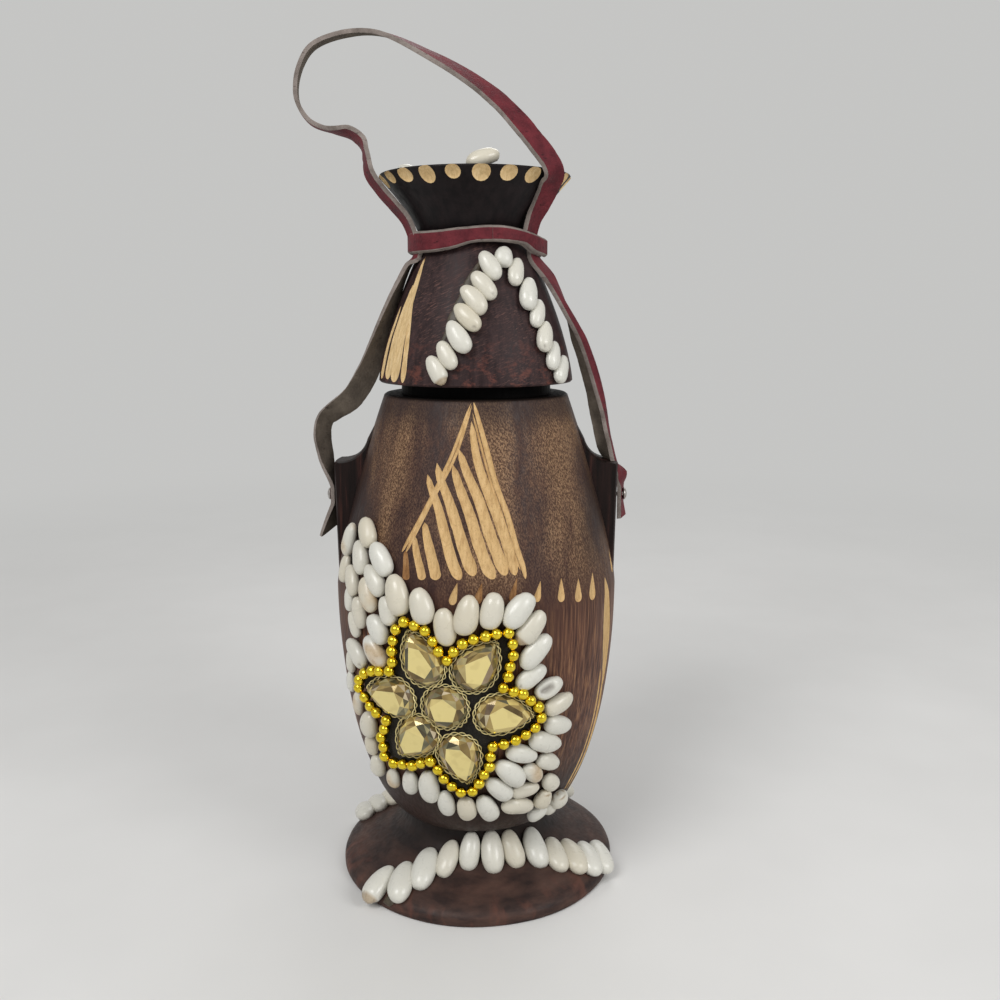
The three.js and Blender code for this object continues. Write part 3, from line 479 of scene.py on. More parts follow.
def seat(radius_at, azimuth, height, lift=0):
    """A place on a turned surface: the point, and the ways round, up along and out of it."""
    slope = (radius_at(height + SLOPE_REACH) - radius_at(height - SLOPE_REACH)) / (2 * SLOPE_REACH)
    radial = outward(azimuth)
    round_way = Vector((-radial.y, radial.x, 0))
    up = Vector((radial.x * slope, radial.y * slope, 1)).normalized()
    out = round_way.cross(up)
    at = radial * radius_at(height) + Vector((0, 0, height)) + out * lift
    return at, round_way, up, out


# Lines of sight of the photograph

RIGHT = Vector((1, 0, 0))
FORWARD = Vector((0, math.cos(PITCH), -math.sin(PITCH)))
UPWARD = Vector((0, math.sin(PITCH), math.cos(PITCH)))


def sight(pixel):
    across, down = ((value - IMAGE_CENTRE) / FOCAL_PIXELS for value in pixel)
    return (FORWARD + RIGHT * across - UPWARD * down).normalized()


def seen_at(pixel, radius_at, lift=0):
    """Where a pixel's line of sight meets a turned surface raised by lift, or passes nearest to it."""
    ray = sight(pixel)

    def clearance(reach):
        point = CAMERA + ray * reach
        return point.xy.length - radius_at(point.z) - lift

    reaches = range(NEAREST, FARTHEST)
    first = next((reach for reach in reaches if clearance(reach) < 0), None)
    if first is None:
        nearest = min(reaches, key=clearance)
        near, far = nearest - 1, nearest + 1
        for _ in range(SIGHT_HALVINGS):
            third = (far - near) / 3
            if clearance(near + third) < clearance(far - third):
                far -= third
            else:
                near += third
        return CAMERA + ray * near
    near, far = first - 1, first
    for _ in range(SIGHT_HALVINGS):
        middle = (near + far) / 2
        near, far = (near, middle) if clearance(middle) < 0 else (middle, far)
    return CAMERA + ray * far


def evened(values, passes):
    """Values averaged with their neighbours a number of times, the ends carried on straight."""
    for _ in range(passes):
        inner = [(a + 2 * b + c) / 4 for a, b, c in zip(values, values[1:], values[2:])]
        values = [2 * inner[0] - inner[1], *inner, 2 * inner[-1] - inner[-2]]
    return values


def seen_path(pixels, radius_at, shares, evening=0):
    """Azimuths and heights at shares of the way along a smooth line of pixels, its azimuths evened out."""
    line = smooth_line([Vector((across, down, 0)) for across, down in pixels], PIXEL_STATIONS)
    points = []
    for share in shares:
        place = share * PIXEL_STATIONS
        span = min(int(place), PIXEL_STATIONS - 1)
        pixel = line[span][0].lerp(line[span + 1][0], place - span)
        points.append(seen_at(pixel.xy, radius_at))
    azimuths = evened([azimuth_of(point) for point in points], evening)
    return [(azimuth, point.z) for azimuth, point in zip(azimuths, points)]


# Mesh building

def skin(rings, is_ring=False):
    """Vertices and faces of a form through rings of equal count, closed on itself or capped at its ends."""
    sides = len(rings[0])
    count = len(rings)
    vertices = [point for ring in rings for point in ring]
    faces = []
    for span in range(count if is_ring else count - 1):
        near = sides * span
        far = sides * ((span + 1) % count)
        for side in range(sides):
            after = (side + 1) % sides
            faces.append((near + side, near + after, far + after, far + side))
    if not is_ring:
        faces.append(tuple(range(sides)))
        faces.append(tuple(range(len(vertices) - sides, len(vertices))))
    return vertices, faces


def piece(name, forms, *materials, sharp=SHARP, shades=()):
    """A mesh object of forms, its faces pointing out and its edges over sharp degrees crisp.

    Shades holds the material of each form, where they differ.
    """
    vertices = []
    faces = []
    for points, polygons in forms:
        first = len(vertices)
        vertices.extend(point * MM for point in points)
        faces.extend(tuple(first + corner for corner in polygon) for polygon in polygons)
    mesh = bpy.data.meshes.new(name)
    mesh.from_pydata(vertices, [], faces)
    shape = bmesh.new()
    shape.from_mesh(mesh)
    bmesh.ops.recalc_face_normals(shape, faces=shape.faces)
    shape.to_mesh(mesh)
    shape.free()
    for material in materials:
        mesh.materials.append(material)
    if shades:
        kinds = [shade for (_, polygons), shade in zip(forms, shades) for _ in polygons]
        mesh.polygons.foreach_set("material_index", kinds)
    made = bpy.data.objects.new(name, mesh)
    bpy.context.scene.collection.objects.link(made)
    soften(mesh, sharp)
    return made


def hoop(at, side, up, radius, sides):
    """Points round a place, in the plane of two ways."""
    return [at + (side * math.cos(turn) + up * math.sin(turn)) * radius
            for turn in steps(0, 2 * math.pi, sides)[:-1]]


def soften(mesh, sharp):
    mesh.shade_smooth()
    mesh.set_sharp_from_angle(angle=math.radians(sharp))


def settle(made, body, slot, *nodes):
    """Rides a piece on its body and hides the solids that it stands for; slot is not used."""
    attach(made, body)
    if nodes:
        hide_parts(*nodes)
    return made


def combine(base, tool, operation):
    """Joins or cuts base with tool, whose faces keep their own material, and removes tool."""
    change = base.modifiers.new(operation.lower(), "BOOLEAN")
    change.operation = operation
    change.solver = "EXACT"
    change.use_self = True
    change.material_mode = "TRANSFER"
    change.object = tool
    made = bpy.data.meshes.new_from_object(base.evaluated_get(bpy.context.evaluated_depsgraph_get()))
    base.modifiers.clear()
    base.data = made
    bpy.data.objects.remove(tool)
    clean(made)


def clean(mesh):
    """Removes what a boolean can leave behind: zero-size faces, and faces laid back to back."""
    shape = bmesh.new()
    shape.from_mesh(mesh)
    bmesh.ops.remove_doubles(shape, verts=shape.verts, dist=WELD)
    bmesh.ops.dissolve_degenerate(shape, edges=shape.edges, dist=WELD)
    bmesh.ops.triangulate(shape, faces=[face for face in shape.faces if len(face.verts) > 4])
    corners = {}
    for face in shape.faces:
        corners.setdefault(frozenset(face.verts), []).append(face)
    doubled = [face for faces in corners.values() if len(faces) > 1 for face in faces]
    bmesh.ops.delete(shape, geom=doubled, context="FACES")
    shape.to_mesh(mesh)
    shape.free()


def turned(outline):
    """A turned form through radius and height points, with flat ends and a hand-cut waver."""
    rings = []
    for radius, height in outline:
        ring = []
        for k in range(TURNED_SIDES):
            out = outward(360 * k / TURNED_SIDES)
            point = out * radius + Vector((0, 0, height))
            ring.append(point + out * (noise.noise(point / HAND_WAVE) * HAND_DEPTH))
        rings.append(ring)
    return skin(rings)


def profile(radius_at, low, high):
    count = math.ceil((high - low) / TURNED_STEP)
    return [(radius_at(height), height) for height in steps(low, high, count)]


def smooth_line(points, count):
    """Even stations along a smooth line through points: each its place, number of points passed and way."""
    ends = [points[0] * 2 - points[1], *points, points[-1] * 2 - points[-2]]
    fine = []
    for span in range(len(points) - 1):
        p0, p1, p2, p3 = ends[span:span + 4]
        gaps = [math.sqrt((b - a).length) for a, b in ((p0, p1), (p1, p2), (p2, p3))]
        leave = ((p1 - p0) / gaps[0] - (p2 - p0) / (gaps[0] + gaps[1]) + (p2 - p1) / gaps[1]) * gaps[1]
        arrive = ((p2 - p1) / gaps[1] - (p3 - p1) / (gaps[1] + gaps[2]) + (p3 - p2) / gaps[2]) * gaps[1]
        for t in steps(0, 1, LINE_FINENESS)[:-1]:
            bend = (p2 - p1) * 3 - leave * 2 - arrive
            turn = (p1 - p2) * 2 + leave + arrive
            fine.append((p1 + leave * t + bend * t ** 2 + turn * t ** 3, span + t))
    fine.append((points[-1], len(points) - 1))
    return even_stations(fine, count)


def even_stations(fine, count):
    """Resamples (point, place) pairs at even distances and adds the way along."""
    reached = [0]
    for (before, _), (after, _) in zip(fine, fine[1:]):
        reached.append(reached[-1] + (after - before).length)
    stations = []
    span = 0
    for target in steps(0, reached[-1], count):
        while span < len(fine) - 2 and reached[span + 1] < target:
            span += 1
        share = clamp((target - reached[span]) / max(reached[span + 1] - reached[span], 1e-9))
        (low, low_place), (high, high_place) = fine[span], fine[span + 1]
        stations.append((low.lerp(high, share), lerp(low_place, high_place, share)))
    places = [at for at, _ in stations]
    ways = [(places[min(k + 1, count)] - places[max(k - 1, 0)]).normalized() for k in range(count + 1)]
    return [(at, place, way) for (at, place), way in zip(stations, ways)]


# Materials

class Finish:
    """A node material around one Principled shader, textured in the frame's own coordinates."""

    def __init__(self, name, **settings):
        self.material = bpy.data.materials.new(name)
        self.material.use_nodes = True
        self.tree = self.material.node_tree
        self.shader = self.tree.nodes["Principled BSDF"]
        for socket, value in settings.items():
            self.shader.inputs[socket.replace("_", " ")].default_value = value
        self.place = self.add("ShaderNodeTexCoord").outputs["Object"]

    def add(self, kind, **settings):
        node = self.tree.nodes.new(kind)
        for name, value in settings.items():
            setattr(node, name, value)
        return node

    def feed(self, socket, source):
        """Puts a value, a colour or another node's output into a socket."""
        if isinstance(source, bpy.types.NodeSocket):
            self.tree.links.new(source, socket)
        elif isinstance(source, tuple) and len(source) == 3 and socket.type == "RGBA":
            socket.default_value = (*source, 1)
        else:
            socket.default_value = source

    def drive(self, socket, source):
        self.feed(self.shader.inputs[socket], source)

    def stretched(self, scale, lean=0.0):
        """The frame's coordinates leaned sideways by an angle in degrees, then scaled along each axis."""
        turned_place = self.add("ShaderNodeVectorRotate", rotation_type="Y_AXIS")
        self.feed(turned_place.inputs["Vector"], self.place)
        turned_place.inputs["Angle"].default_value = math.radians(lean)
        mapping = self.add("ShaderNodeMapping")
        self.feed(mapping.inputs["Vector"], turned_place.outputs["Vector"])
        mapping.inputs["Scale"].default_value = scale
        return mapping.outputs["Vector"]

    def cloud(self, scale, detail=4.0, roughness=0.55, warp=0.0, lean=0.0):
        """Noise whose features repeat about scale times a metre along each axis."""
        node = self.add("ShaderNodeTexNoise")
        sizes = scale if isinstance(scale, tuple) else (scale,) * 3
        self.feed(node.inputs["Vector"], self.stretched(sizes, lean))
        node.inputs["Scale"].default_value = 1
        node.inputs["Detail"].default_value = detail
        node.inputs["Roughness"].default_value = roughness
        node.inputs["Distortion"].default_value = warp
        return node.outputs["Fac"]

    def cells(self, scale):
        node = self.add("ShaderNodeTexVoronoi", feature="SMOOTH_F1")
        self.feed(node.inputs["Vector"], self.stretched((scale,) * 3))
        node.inputs["Scale"].default_value = 1
        return node.outputs["Distance"]

    def ramp(self, source, *stops):
        """Colours at shares of a source, blended between them."""
        node = self.add("ShaderNodeValToRGB")
        self.feed(node.inputs["Fac"], source)
        elements = node.color_ramp.elements
        while len(elements) < len(stops):
            elements.new(0.5)
        for element, (share, colour) in zip(elements, stops):
            element.position = share
            element.color = (*colour, 1)
        return node.outputs["Color"]

    def span(self, source, low, high, to_low=0.0, to_high=1.0):
        """A source's stretch from low to high, turned into another stretch."""
        node = self.add("ShaderNodeMapRange", interpolation_type="SMOOTHSTEP")
        self.feed(node.inputs["Value"], source)
        for name, value in (("From Min", low), ("From Max", high), ("To Min", to_low), ("To Max", to_high)):
            node.inputs[name].default_value = value
        return node.outputs["Result"]

    def mix(self, share, first, second):
        node = self.add("ShaderNodeMix", data_type="RGBA")
        self.feed(node.inputs["Factor"], share)
        first_colour, second_colour = (socket for socket in node.inputs if socket.type == "RGBA")
        self.feed(first_colour, first)
        self.feed(second_colour, second)
        return next(socket for socket in node.outputs if socket.type == "RGBA")

    def tint(self, base, colour, source, low, high, most=1.0):
        """A base turned towards a colour as a source goes from low to high."""
        return self.mix(self.span(source, low, high, 0, most), base, colour)

    def calc(self, operation, first, second=0):
        node = self.add("ShaderNodeMath", operation=operation)
        self.feed(node.inputs[0], first)
        self.feed(node.inputs[1], second)
        return node.outputs[0]

    def plus(self, first, second):
        return self.calc("ADD", first, second)

    def times(self, first, second):
        return self.calc("MULTIPLY", first, second)

    def axis(self, name):
        node = self.add("ShaderNodeSeparateXYZ")
        self.feed(node.inputs["Vector"], self.place)
        return node.outputs[name]

    def painted(self, name):
        """The channels of a colour attribute on the mesh."""
        attribute = self.add("ShaderNodeAttribute", attribute_name=name)
        node = self.add("ShaderNodeSeparateColor")
        self.feed(node.inputs["Color"], attribute.outputs["Color"])
        return node.outputs["Red"], node.outputs["Green"], node.outputs["Blue"]

    def bump(self, height, depth, strength=1.0):
        """Relief of a given depth in millimetres."""
        node = self.add("ShaderNodeBump")
        node.inputs["Strength"].default_value = strength
        node.inputs["Distance"].default_value = depth * MM
        self.feed(node.inputs["Height"], height)
        self.drive("Normal", node.outputs["Normal"])


# Places in metres between which the wood changes: heights, and distances to the sides
FOOT_WORN = (0.011, 0.004)
# Painted shade: heights over which the top of the foot darkens under the body's belly
FOOT_SHADE = (0.008, 0.02)
FOOT_TO_BODY = (0.0245, 0.027)
SMOOTH_TO_GRAIN = (0.05, 0.078)
GRAIN_DARKENS = (0.112, 0.134)
GRAIN_TO_FLECKS = (0.126, 0.15)
LUG_FADE = (0.142, 0.121)
# Painted shade: the height from which, and the distances to the sides beyond which, the body darkens round
# the lugs
LUG_SHADE_RISE = (0.135, 0.16)
LUG_SHADE_SIDES = (0.036, 0.047)
# Painted light: the body is lighter towards its right side and darker towards its left
PAINTED_SIDE_LIGHT = (-0.03, 0.034)
SHOULDER_DARKENS = (0.19, 0.201)
BODY_TO_NECK = (0.1965, 0.1982)
LID_WORN = (0.226, 0.204)
LID_TO_FLARE = (0.252, 0.258)
EDGE_WANDER = 0.012

# Tones of a finish, as colours at shares of its pattern, and single colours laid over them
GROUND_TONES = [(0.36, (0.016, 0.008, 0.009)), (0.5, (0.034, 0.016, 0.013)), (0.66, (0.07, 0.034, 0.019))]
FLECK_TONES = [(0.36, (0.085, 0.047, 0.042)), (0.5, (0.18, 0.1, 0.06)), (0.66, (0.33, 0.2, 0.11))]
GRAIN_TONES = [(0.34, (0.036, 0.015, 0.012)), (0.52, (0.125, 0.056, 0.035)), (0.7, (0.3, 0.155, 0.076))]
SMOOTH_TONES = [(0.3, (0.022, 0.014, 0.012)), (0.75, (0.058, 0.034, 0.028))]
FOOT_TONES = [(0.35, (0.024, 0.014, 0.0125)), (0.7, (0.086, 0.046, 0.035))]
LUG_TONES = [(0.38, (0.006, 0.0035, 0.003)), (0.56, (0.017, 0.008, 0.007)), (0.74, (0.085, 0.032, 0.024))]
LID_TONES = [(0.34, (0.017, 0.0095, 0.0105)), (0.66, (0.045, 0.026, 0.026))]
FLARE_TONES = [(0.35, (0.005, 0.0035, 0.004)), (0.7, (0.014, 0.009, 0.0095))]
RUST_TONES = [(0.35, (0.45, 0.3, 0.15)), (0.65, (0.6, 0.46, 0.28))]
GEM_BROWNS = [(0.06, (0.05, 0.031, 0.012)), (0.35, (0.21, 0.14, 0.046)), (0.7, (0.46, 0.34, 0.12)),
              (0.95, (0.76, 0.63, 0.26))]
GEM_GREENS = [(0.06, (0.03, 0.028, 0.018)), (0.4, (0.12, 0.11, 0.062)), (0.9, (0.5, 0.45, 0.24))]
GEM_PINKS = [(0.06, (0.06, 0.036, 0.022)), (0.4, (0.26, 0.185, 0.11)), (0.9, (0.6, 0.5, 0.33))]
FLOOR_TONES = [(0.3, (0.71, 0.705, 0.69)), (0.7, (0.75, 0.745, 0.73))]
FIBRE_BROWN = (0.085, 0.04, 0.027)
GRAIN_SHADOW = (0.036, 0.016, 0.014)
ROW_SHADOW = (0.034, 0.014, 0.013)
FOOT_RED = (0.13, 0.05, 0.034)
# Painted shade at the top of the foot, under the body's belly
PAINTED_WAIST_SHADE = (0.008, 0.006, 0.0055)
# Painted shade on the body beside and below the lugs
LUG_SHADE_BLACK = (0.02, 0.011, 0.01)
SHOULDER_DARK = (0.026, 0.015, 0.014)
NECK_BLACK = (0.004, 0.0035, 0.0035)
LUG_BROWN = (0.062, 0.029, 0.021)
SCRATCH_BROWN = (0.17, 0.085, 0.07)
LID_RED = (0.12, 0.043, 0.033)
SHELL_WHITE = (0.67, 0.66, 0.595)
SHELL_CREAM = (0.6, 0.54, 0.41)
SHELL_BAND = (0.54, 0.515, 0.45)
SHELL_DARK = (0.09, 0.065, 0.048)


def body_wood():
    """The pot's wood: flecked brown above the row of drops, upright grain below it, dark foot and neck, with
    painted shade and light.
    """
    wood = Finish("body_wood")
    height = wood.axis("Z")
    sideways = wood.axis("X")
    broad = wood.cloud((52, 52, 7), detail=3, warp=0.5)
    # Painted light: the broad tone is raised towards the right side and lowered towards the left
    tone_and_side_light = wood.plus(broad, wood.span(sideways, *PAINTED_SIDE_LIGHT, -0.04, 0.09))
    fibre = wood.cloud((620, 620, 26), detail=5, roughness=0.62)
    flecks = wood.cloud((2500, 2500, 1050), detail=3, roughness=0.6, warp=0.5, lean=8)
    ground = wood.tint(wood.ramp(tone_and_side_light, *GROUND_TONES), FIBRE_BROWN, fibre, 0.45, 0.72, 0.6)
    speckle = wood.times(wood.span(flecks, 0.42, 0.64), wood.span(tone_and_side_light, 0.36, 0.64, 0.35, 0.95))
    upper = wood.mix(speckle, ground, wood.ramp(tone_and_side_light, *FLECK_TONES))
    streak = wood.cloud((1050, 1050, 24), detail=5, roughness=0.66, warp=0.2)
    lower = wood.tint(wood.ramp(streak, *GRAIN_TONES), GRAIN_SHADOW, broad, 0.52, 0.34, 0.7)
    lower = wood.tint(lower, ROW_SHADOW, height, *GRAIN_DARKENS, 0.75)
    edge = wood.plus(height, wood.times(wood.cloud(60), EDGE_WANDER))
    body = wood.mix(wood.span(edge, *SMOOTH_TO_GRAIN), wood.ramp(streak, *SMOOTH_TONES), lower)
    body = wood.mix(wood.span(edge, *GRAIN_TO_FLECKS), body, upper)
    rubbed = wood.cloud((90, 90, 50), detail=5, warp=0.8)
    wear = wood.times(wood.span(rubbed, 0.5, 0.68, 0, 0.7), wood.span(height, *FOOT_WORN))
    foot = wood.mix(wear, wood.ramp(wood.cloud((70, 70, 300)), *FOOT_TONES), FOOT_RED)
    # Painted shade darkens the top of the foot where the body's belly overhangs it
    foot = wood.tint(foot, PAINTED_WAIST_SHADE, height, *FOOT_SHADE, 0.85)
    body = wood.mix(wood.span(height, *FOOT_TO_BODY), foot, body)
    # Painted shade: the body darkens at its sides, rising towards and round the lugs
    beside = wood.span(wood.calc("ABSOLUTE", sideways), *LUG_SHADE_SIDES)
    lug_shade = wood.times(beside, wood.span(edge, *LUG_SHADE_RISE, 0, 0.85))
    body = wood.tint(wood.mix(lug_shade, body, LUG_SHADE_BLACK), SHOULDER_DARK, edge, *SHOULDER_DARKENS, 0.75)
    wood.drive("Base Color", wood.tint(body, NECK_BLACK, height, *BODY_TO_NECK))
    wood.drive("Specular IOR Level", wood.span(height, *BODY_TO_NECK, 0.2, 0.03))
    wood.drive("Roughness", wood.span(fibre, 0.3, 0.7, 0.42, 0.6))
    wood.bump(wood.plus(fibre, wood.times(flecks, 0.4)), 0.12, 0.45)
    return wood.material


def lug_wood():
    """The lugs' wood: near black with red streaks along the grain, brown where it meets the body."""
    wood = Finish("lug_wood", Specular_IOR_Level=0.14)
    streak = wood.cloud((420, 420, 22), detail=5, roughness=0.62)
    wood.drive("Base Color", wood.tint(wood.ramp(streak, *LUG_TONES), LUG_BROWN, wood.axis("Z"), *LUG_FADE))
    wood.drive("Roughness", wood.span(streak, 0.3, 0.7, 0.45, 0.62))
    wood.bump(streak, 0.14, 0.45)
    return wood.material


def lid_wood():
    """The lid's wood: dark brown with slanting scratches and rubbed red patches, black on the flare."""
    wood = Finish("lid_wood", Specular_IOR_Level=0.15)
    height = wood.axis("Z")
    fibre = wood.cloud((480, 480, 40), detail=5, roughness=0.62)
    scratches = wood.cloud((240, 900, 2600), roughness=0.66, lean=24)
    patches = wood.cloud((46, 46, 40))
    scored = wood.times(wood.span(scratches, 0.5, 0.72), wood.span(patches, 0.38, 0.64, 0.15, 0.8))
    tone = wood.mix(scored, wood.ramp(fibre, *LID_TONES), SCRATCH_BROWN)
    worn = wood.cloud((210, 210, 330), detail=6, roughness=0.7)
    rubbed = wood.times(wood.span(worn, 0.5, 0.68), wood.span(height, *LID_WORN))
    tone = wood.mix(rubbed, tone, LID_RED)
    flare = wood.ramp(wood.cloud((300, 300, 60)), *FLARE_TONES)
    wood.drive("Base Color", wood.mix(wood.span(height, *LID_TO_FLARE), tone, flare))
    wood.drive("Roughness", wood.span(fibre, 0.3, 0.7, 0.4, 0.58))
    wood.bump(wood.plus(fibre, wood.times(scratches, 0.5)), 0.14, 0.45)
    return wood.material


def cut_wood(name, low, middle, high):
    """Bare wood inside the cuts, with fibres and fine pores."""
    wood = Finish(name, Specular_IOR_Level=0.2, Roughness=0.78)
    fibre = wood.cloud((900, 900, 60), detail=6, roughness=0.65)
    pores = wood.cloud((2600, 2600, 1300), detail=3, roughness=0.6)
    tone = wood.ramp(fibre, (0.28, low), (0.5, middle), (0.74, high))
    wood.drive("Base Color", wood.tint(tone, low, pores, 0.54, 0.7, 0.75))
    wood.bump(wood.plus(fibre, pores), 0.14, 0.5)
    return wood.material


def shell_finish():
    """White to cream shell with faint growth lines; the painted channels are stain, dark and cream."""
    shell = Finish("shell", Specular_IOR_Level=0.5, Coat_Weight=0.25, Coat_Roughness=0.15)
    stain, dark, cream = shell.painted("marks")
    bands = shell.cloud(420, detail=5, roughness=0.6)
    white = shell.tint(shell.mix(cream, SHELL_WHITE, SHELL_CREAM), SHELL_BAND, bands, 0.52, 0.78, 0.28)
    tone = shell.mix(stain, white, shell.ramp(bands, *RUST_TONES))
    shell.drive("Base Color", shell.mix(dark, tone, SHELL_DARK))
    shell.drive("Roughness", shell.span(bands, 0.35, 0.7, 0.26, 0.44))
    shell.bump(bands, 0.1, 0.35)
    return shell.material


def leather(name, low, high, crack, roughness):
    """Pebbled leather, clouded between two tones and creased."""
    hide = Finish(name, Specular_IOR_Level=0.14)
    pebble = hide.cells(1100)
    cloud = hide.cloud(160, detail=6, roughness=0.65)
    tone = hide.ramp(cloud, (0.3, low), (0.72, high))
    hide.drive("Base Color", hide.tint(tone, crack, hide.cloud((260, 260, 700), detail=5), 0.6, 0.74))
    hide.drive("Roughness", hide.span(cloud, 0.3, 0.7, *roughness))
    hide.bump(hide.plus(pebble, hide.times(cloud, 0.8)), 0.22, 0.6)
    return hide.material


def mottled(name, pattern, low, high, relief, roughness=None, **settings):
    """A finish of one pattern between two tones, with its relief and, where given, its roughness."""
    finish = Finish(name, **settings)
    cloud = finish.cloud(*pattern)
    finish.drive("Base Color", finish.ramp(cloud, low, high))
    if roughness:
        finish.drive("Roughness", finish.span(cloud, low[0], high[0], *roughness))
    finish.bump(cloud, *relief)
    return finish.material


def gem_finish():
    """Foil-backed cut stone: each facet has its own painted reflection and a painted hue from brown to pink.
    """
    gem = Finish("gem", Metallic=0.15, Roughness=0.14, Specular_IOR_Level=0.3, Coat_Weight=0.3,
                 Coat_Roughness=0.02)
    # The facets' brightness is painted reflection, carried in the colour attribute
    reflected, hue, _ = gem.painted("facet")
    light = gem.plus(reflected, gem.span(gem.cloud(260, detail=1), 0.3, 0.7, -0.06, 0.06))
    brown, green, pink = (gem.ramp(light, *tones) for tones in (GEM_BROWNS, GEM_GREENS, GEM_PINKS))
    tone = gem.mix(gem.span(hue, 0.2, 0.5), brown, green)
    gem.drive("Base Color", gem.mix(gem.span(hue, 0.6, 0.9), tone, pink))
    return gem.material


BODY_WOOD = body_wood()
LUG_WOOD = lug_wood()
LID_WOOD = lid_wood()
CUT_WOOD = cut_wood("cut_wood", (0.4, 0.24, 0.1), (0.6, 0.4, 0.185), (0.7, 0.49, 0.25))
LID_CUT = cut_wood("lid_cut", (0.5, 0.34, 0.16), (0.68, 0.49, 0.25), (0.78, 0.6, 0.35))
STAINED_WOOD = cut_wood("stained_cut", (0.16, 0.075, 0.03), (0.34, 0.175, 0.07), (0.48, 0.29, 0.13))
SHELL = shell_finish()
GRAIN = leather("leather_grain", (0.06, 0.009, 0.014), (0.175, 0.028, 0.036), (0.028, 0.006, 0.008),
                (0.5, 0.66))
FLESH = leather("leather_flesh", (0.075, 0.06, 0.048), (0.17, 0.14, 0.11), (0.05, 0.038, 0.03), (0.8, 0.95))
RAW_EDGE = leather("leather_edge", (0.14, 0.115, 0.1), (0.32, 0.275, 0.25), (0.09, 0.065, 0.06),
                   (0.8, 0.95))
GOLD = mottled("gold_beads", (700, 3), (0.3, (0.68, 0.48, 0.02)), (0.7, (0.95, 0.74, 0.06)), (0.02, 0.2),
               (0.06, 0.13), Metallic=1)
WIRE = mottled("gold_wire", (700, 3), (0.3, (0.64, 0.53, 0.22)), (0.7, (0.8, 0.69, 0.36)), (0.02, 0.2),
               (0.3, 0.45), Metallic=0.25)
FELT = mottled("black_felt", (1800, 5, 0.7), (0.3, (0.006, 0.005, 0.004)), (0.75, (0.035, 0.03, 0.024)),
               (0.4, 0.8), Specular_IOR_Level=0.15, Roughness=0.95, Sheen_Weight=0.15)
GEM = gem_finish()
STEEL = mottled("tack_steel", (900, 5, 0.65), (0.35, (0.56, 0.55, 0.53)), (0.7, (0.24, 0.19, 0.16)),
                (0.08, 0.4), (0.25, 0.55), Metallic=1)
GLUE = mottled("dried_glue", (420,), (0.3, (0.032, 0.025, 0.017)), (0.7, (0.1, 0.082, 0.056)), (0.3, 0.5),
               Roughness=0.4, Specular_IOR_Level=0.3)


# Carving

def path_frames(radius_at, path):
    """Places along a path on a turned surface: the point, the way across the path and the way out."""
    seats = [seat(radius_at, azimuth, height) for azimuth, height in path]
    frames = []
    for k, (at, _, _, out) in enumerate(seats):
        along = seats[min(k + 1, len(seats) - 1)][0] - seats[max(k - 1, 0)][0]
        frames.append((at, out.cross(along).normalized(), out))
    return frames


CUT_SHARES = [(k / CUT_STATIONS) ** CUT_EASE for k in range(CUT_STATIONS + 1)]


def stroke(point, rounding=CUT_ROUND):
    """The narrowing of a stroke of the gouge from its rounded foot to its point."""
    def narrowing(share):
        foot = math.sqrt(1 - (1 - min(share / rounding, 1)) ** 2)
        return max(foot * (1 - share) ** point, LEAST_CUT)
    return narrowing


def leaf(share):
    """The narrowing of a leaf, pointed at both ends."""
    return max(math.sin(math.pi * share) ** LEAF_FULLNESS, LEAST_CUT)


def cutter(radius_at, path, width, depth, narrowing):
    """A cutter for one shallow cut along a path, narrowed over its length."""
    rings = []
    for share, (at, across, out) in zip(CUT_SHARES, path_frames(radius_at, path)):
        narrow = narrowing(share)
        half = width / 2 * narrow * waver(at, *CUT_WIDTH_WAVER)
        floor = depth * math.sqrt(narrow) * waver(at, *CUT_DEPTH_WAVER)
        ring = [at + across * half * x - out * floor * (1 - x ** CUT_FLATNESS)
                for x in steps(-1, 1, CUT_SIDES)]
        ring += [at + across * half * side * CUT_FLARE + out * CUT_ABOVE for side in (1, -1)]
        rings.append(ring)
    return skin(rings)


def seen_cuts(cuts, depth, narrowing, evening=0):
    """Cutters for cuts in the pot that are read on the photograph."""
    return [cutter(pot_radius, seen_path(pixels, pot_radius, CUT_SHARES, evening), width, depth, narrowing)
            for pixels, width in cuts]


def back_drops(narrowing):
    """Cutters for the row of drops, carried on evenly round the back."""
    paths = ([(azimuth, lerp(*DROP_HEIGHTS, share)) for share in CUT_SHARES] for azimuth in DROP_AZIMUTHS)
    return [cutter(pot_radius, path, DROP_WIDTH, CUT_DEPTH, narrowing) for path in paths]


def scoop_cutter(azimuth, rng):
    """A shallow round scoop in the rim of the lid."""
    height = RIM_NOTCH_HEIGHT + rng.uniform(-RIM_NOTCH_STRAY, RIM_NOTCH_STRAY)
    at, round_way, up, out = seat(lid_radius, azimuth, height)
    wide, tall = (size / 2 * rng.uniform(*RIM_NOTCH_SPREAD) for size in RIM_NOTCH_SIZE)
    turns = [math.pi * k / CUT_SIDES for k in range(2 * CUT_SIDES)]
    return skin([[at + round_way * wide * share * math.cos(turn) + up * tall * share * math.sin(turn)
                  + out * RIM_NOTCH_DEPTH * level for turn in turns] for share, level in RIM_NOTCH_LEVELS])


# Body and lid

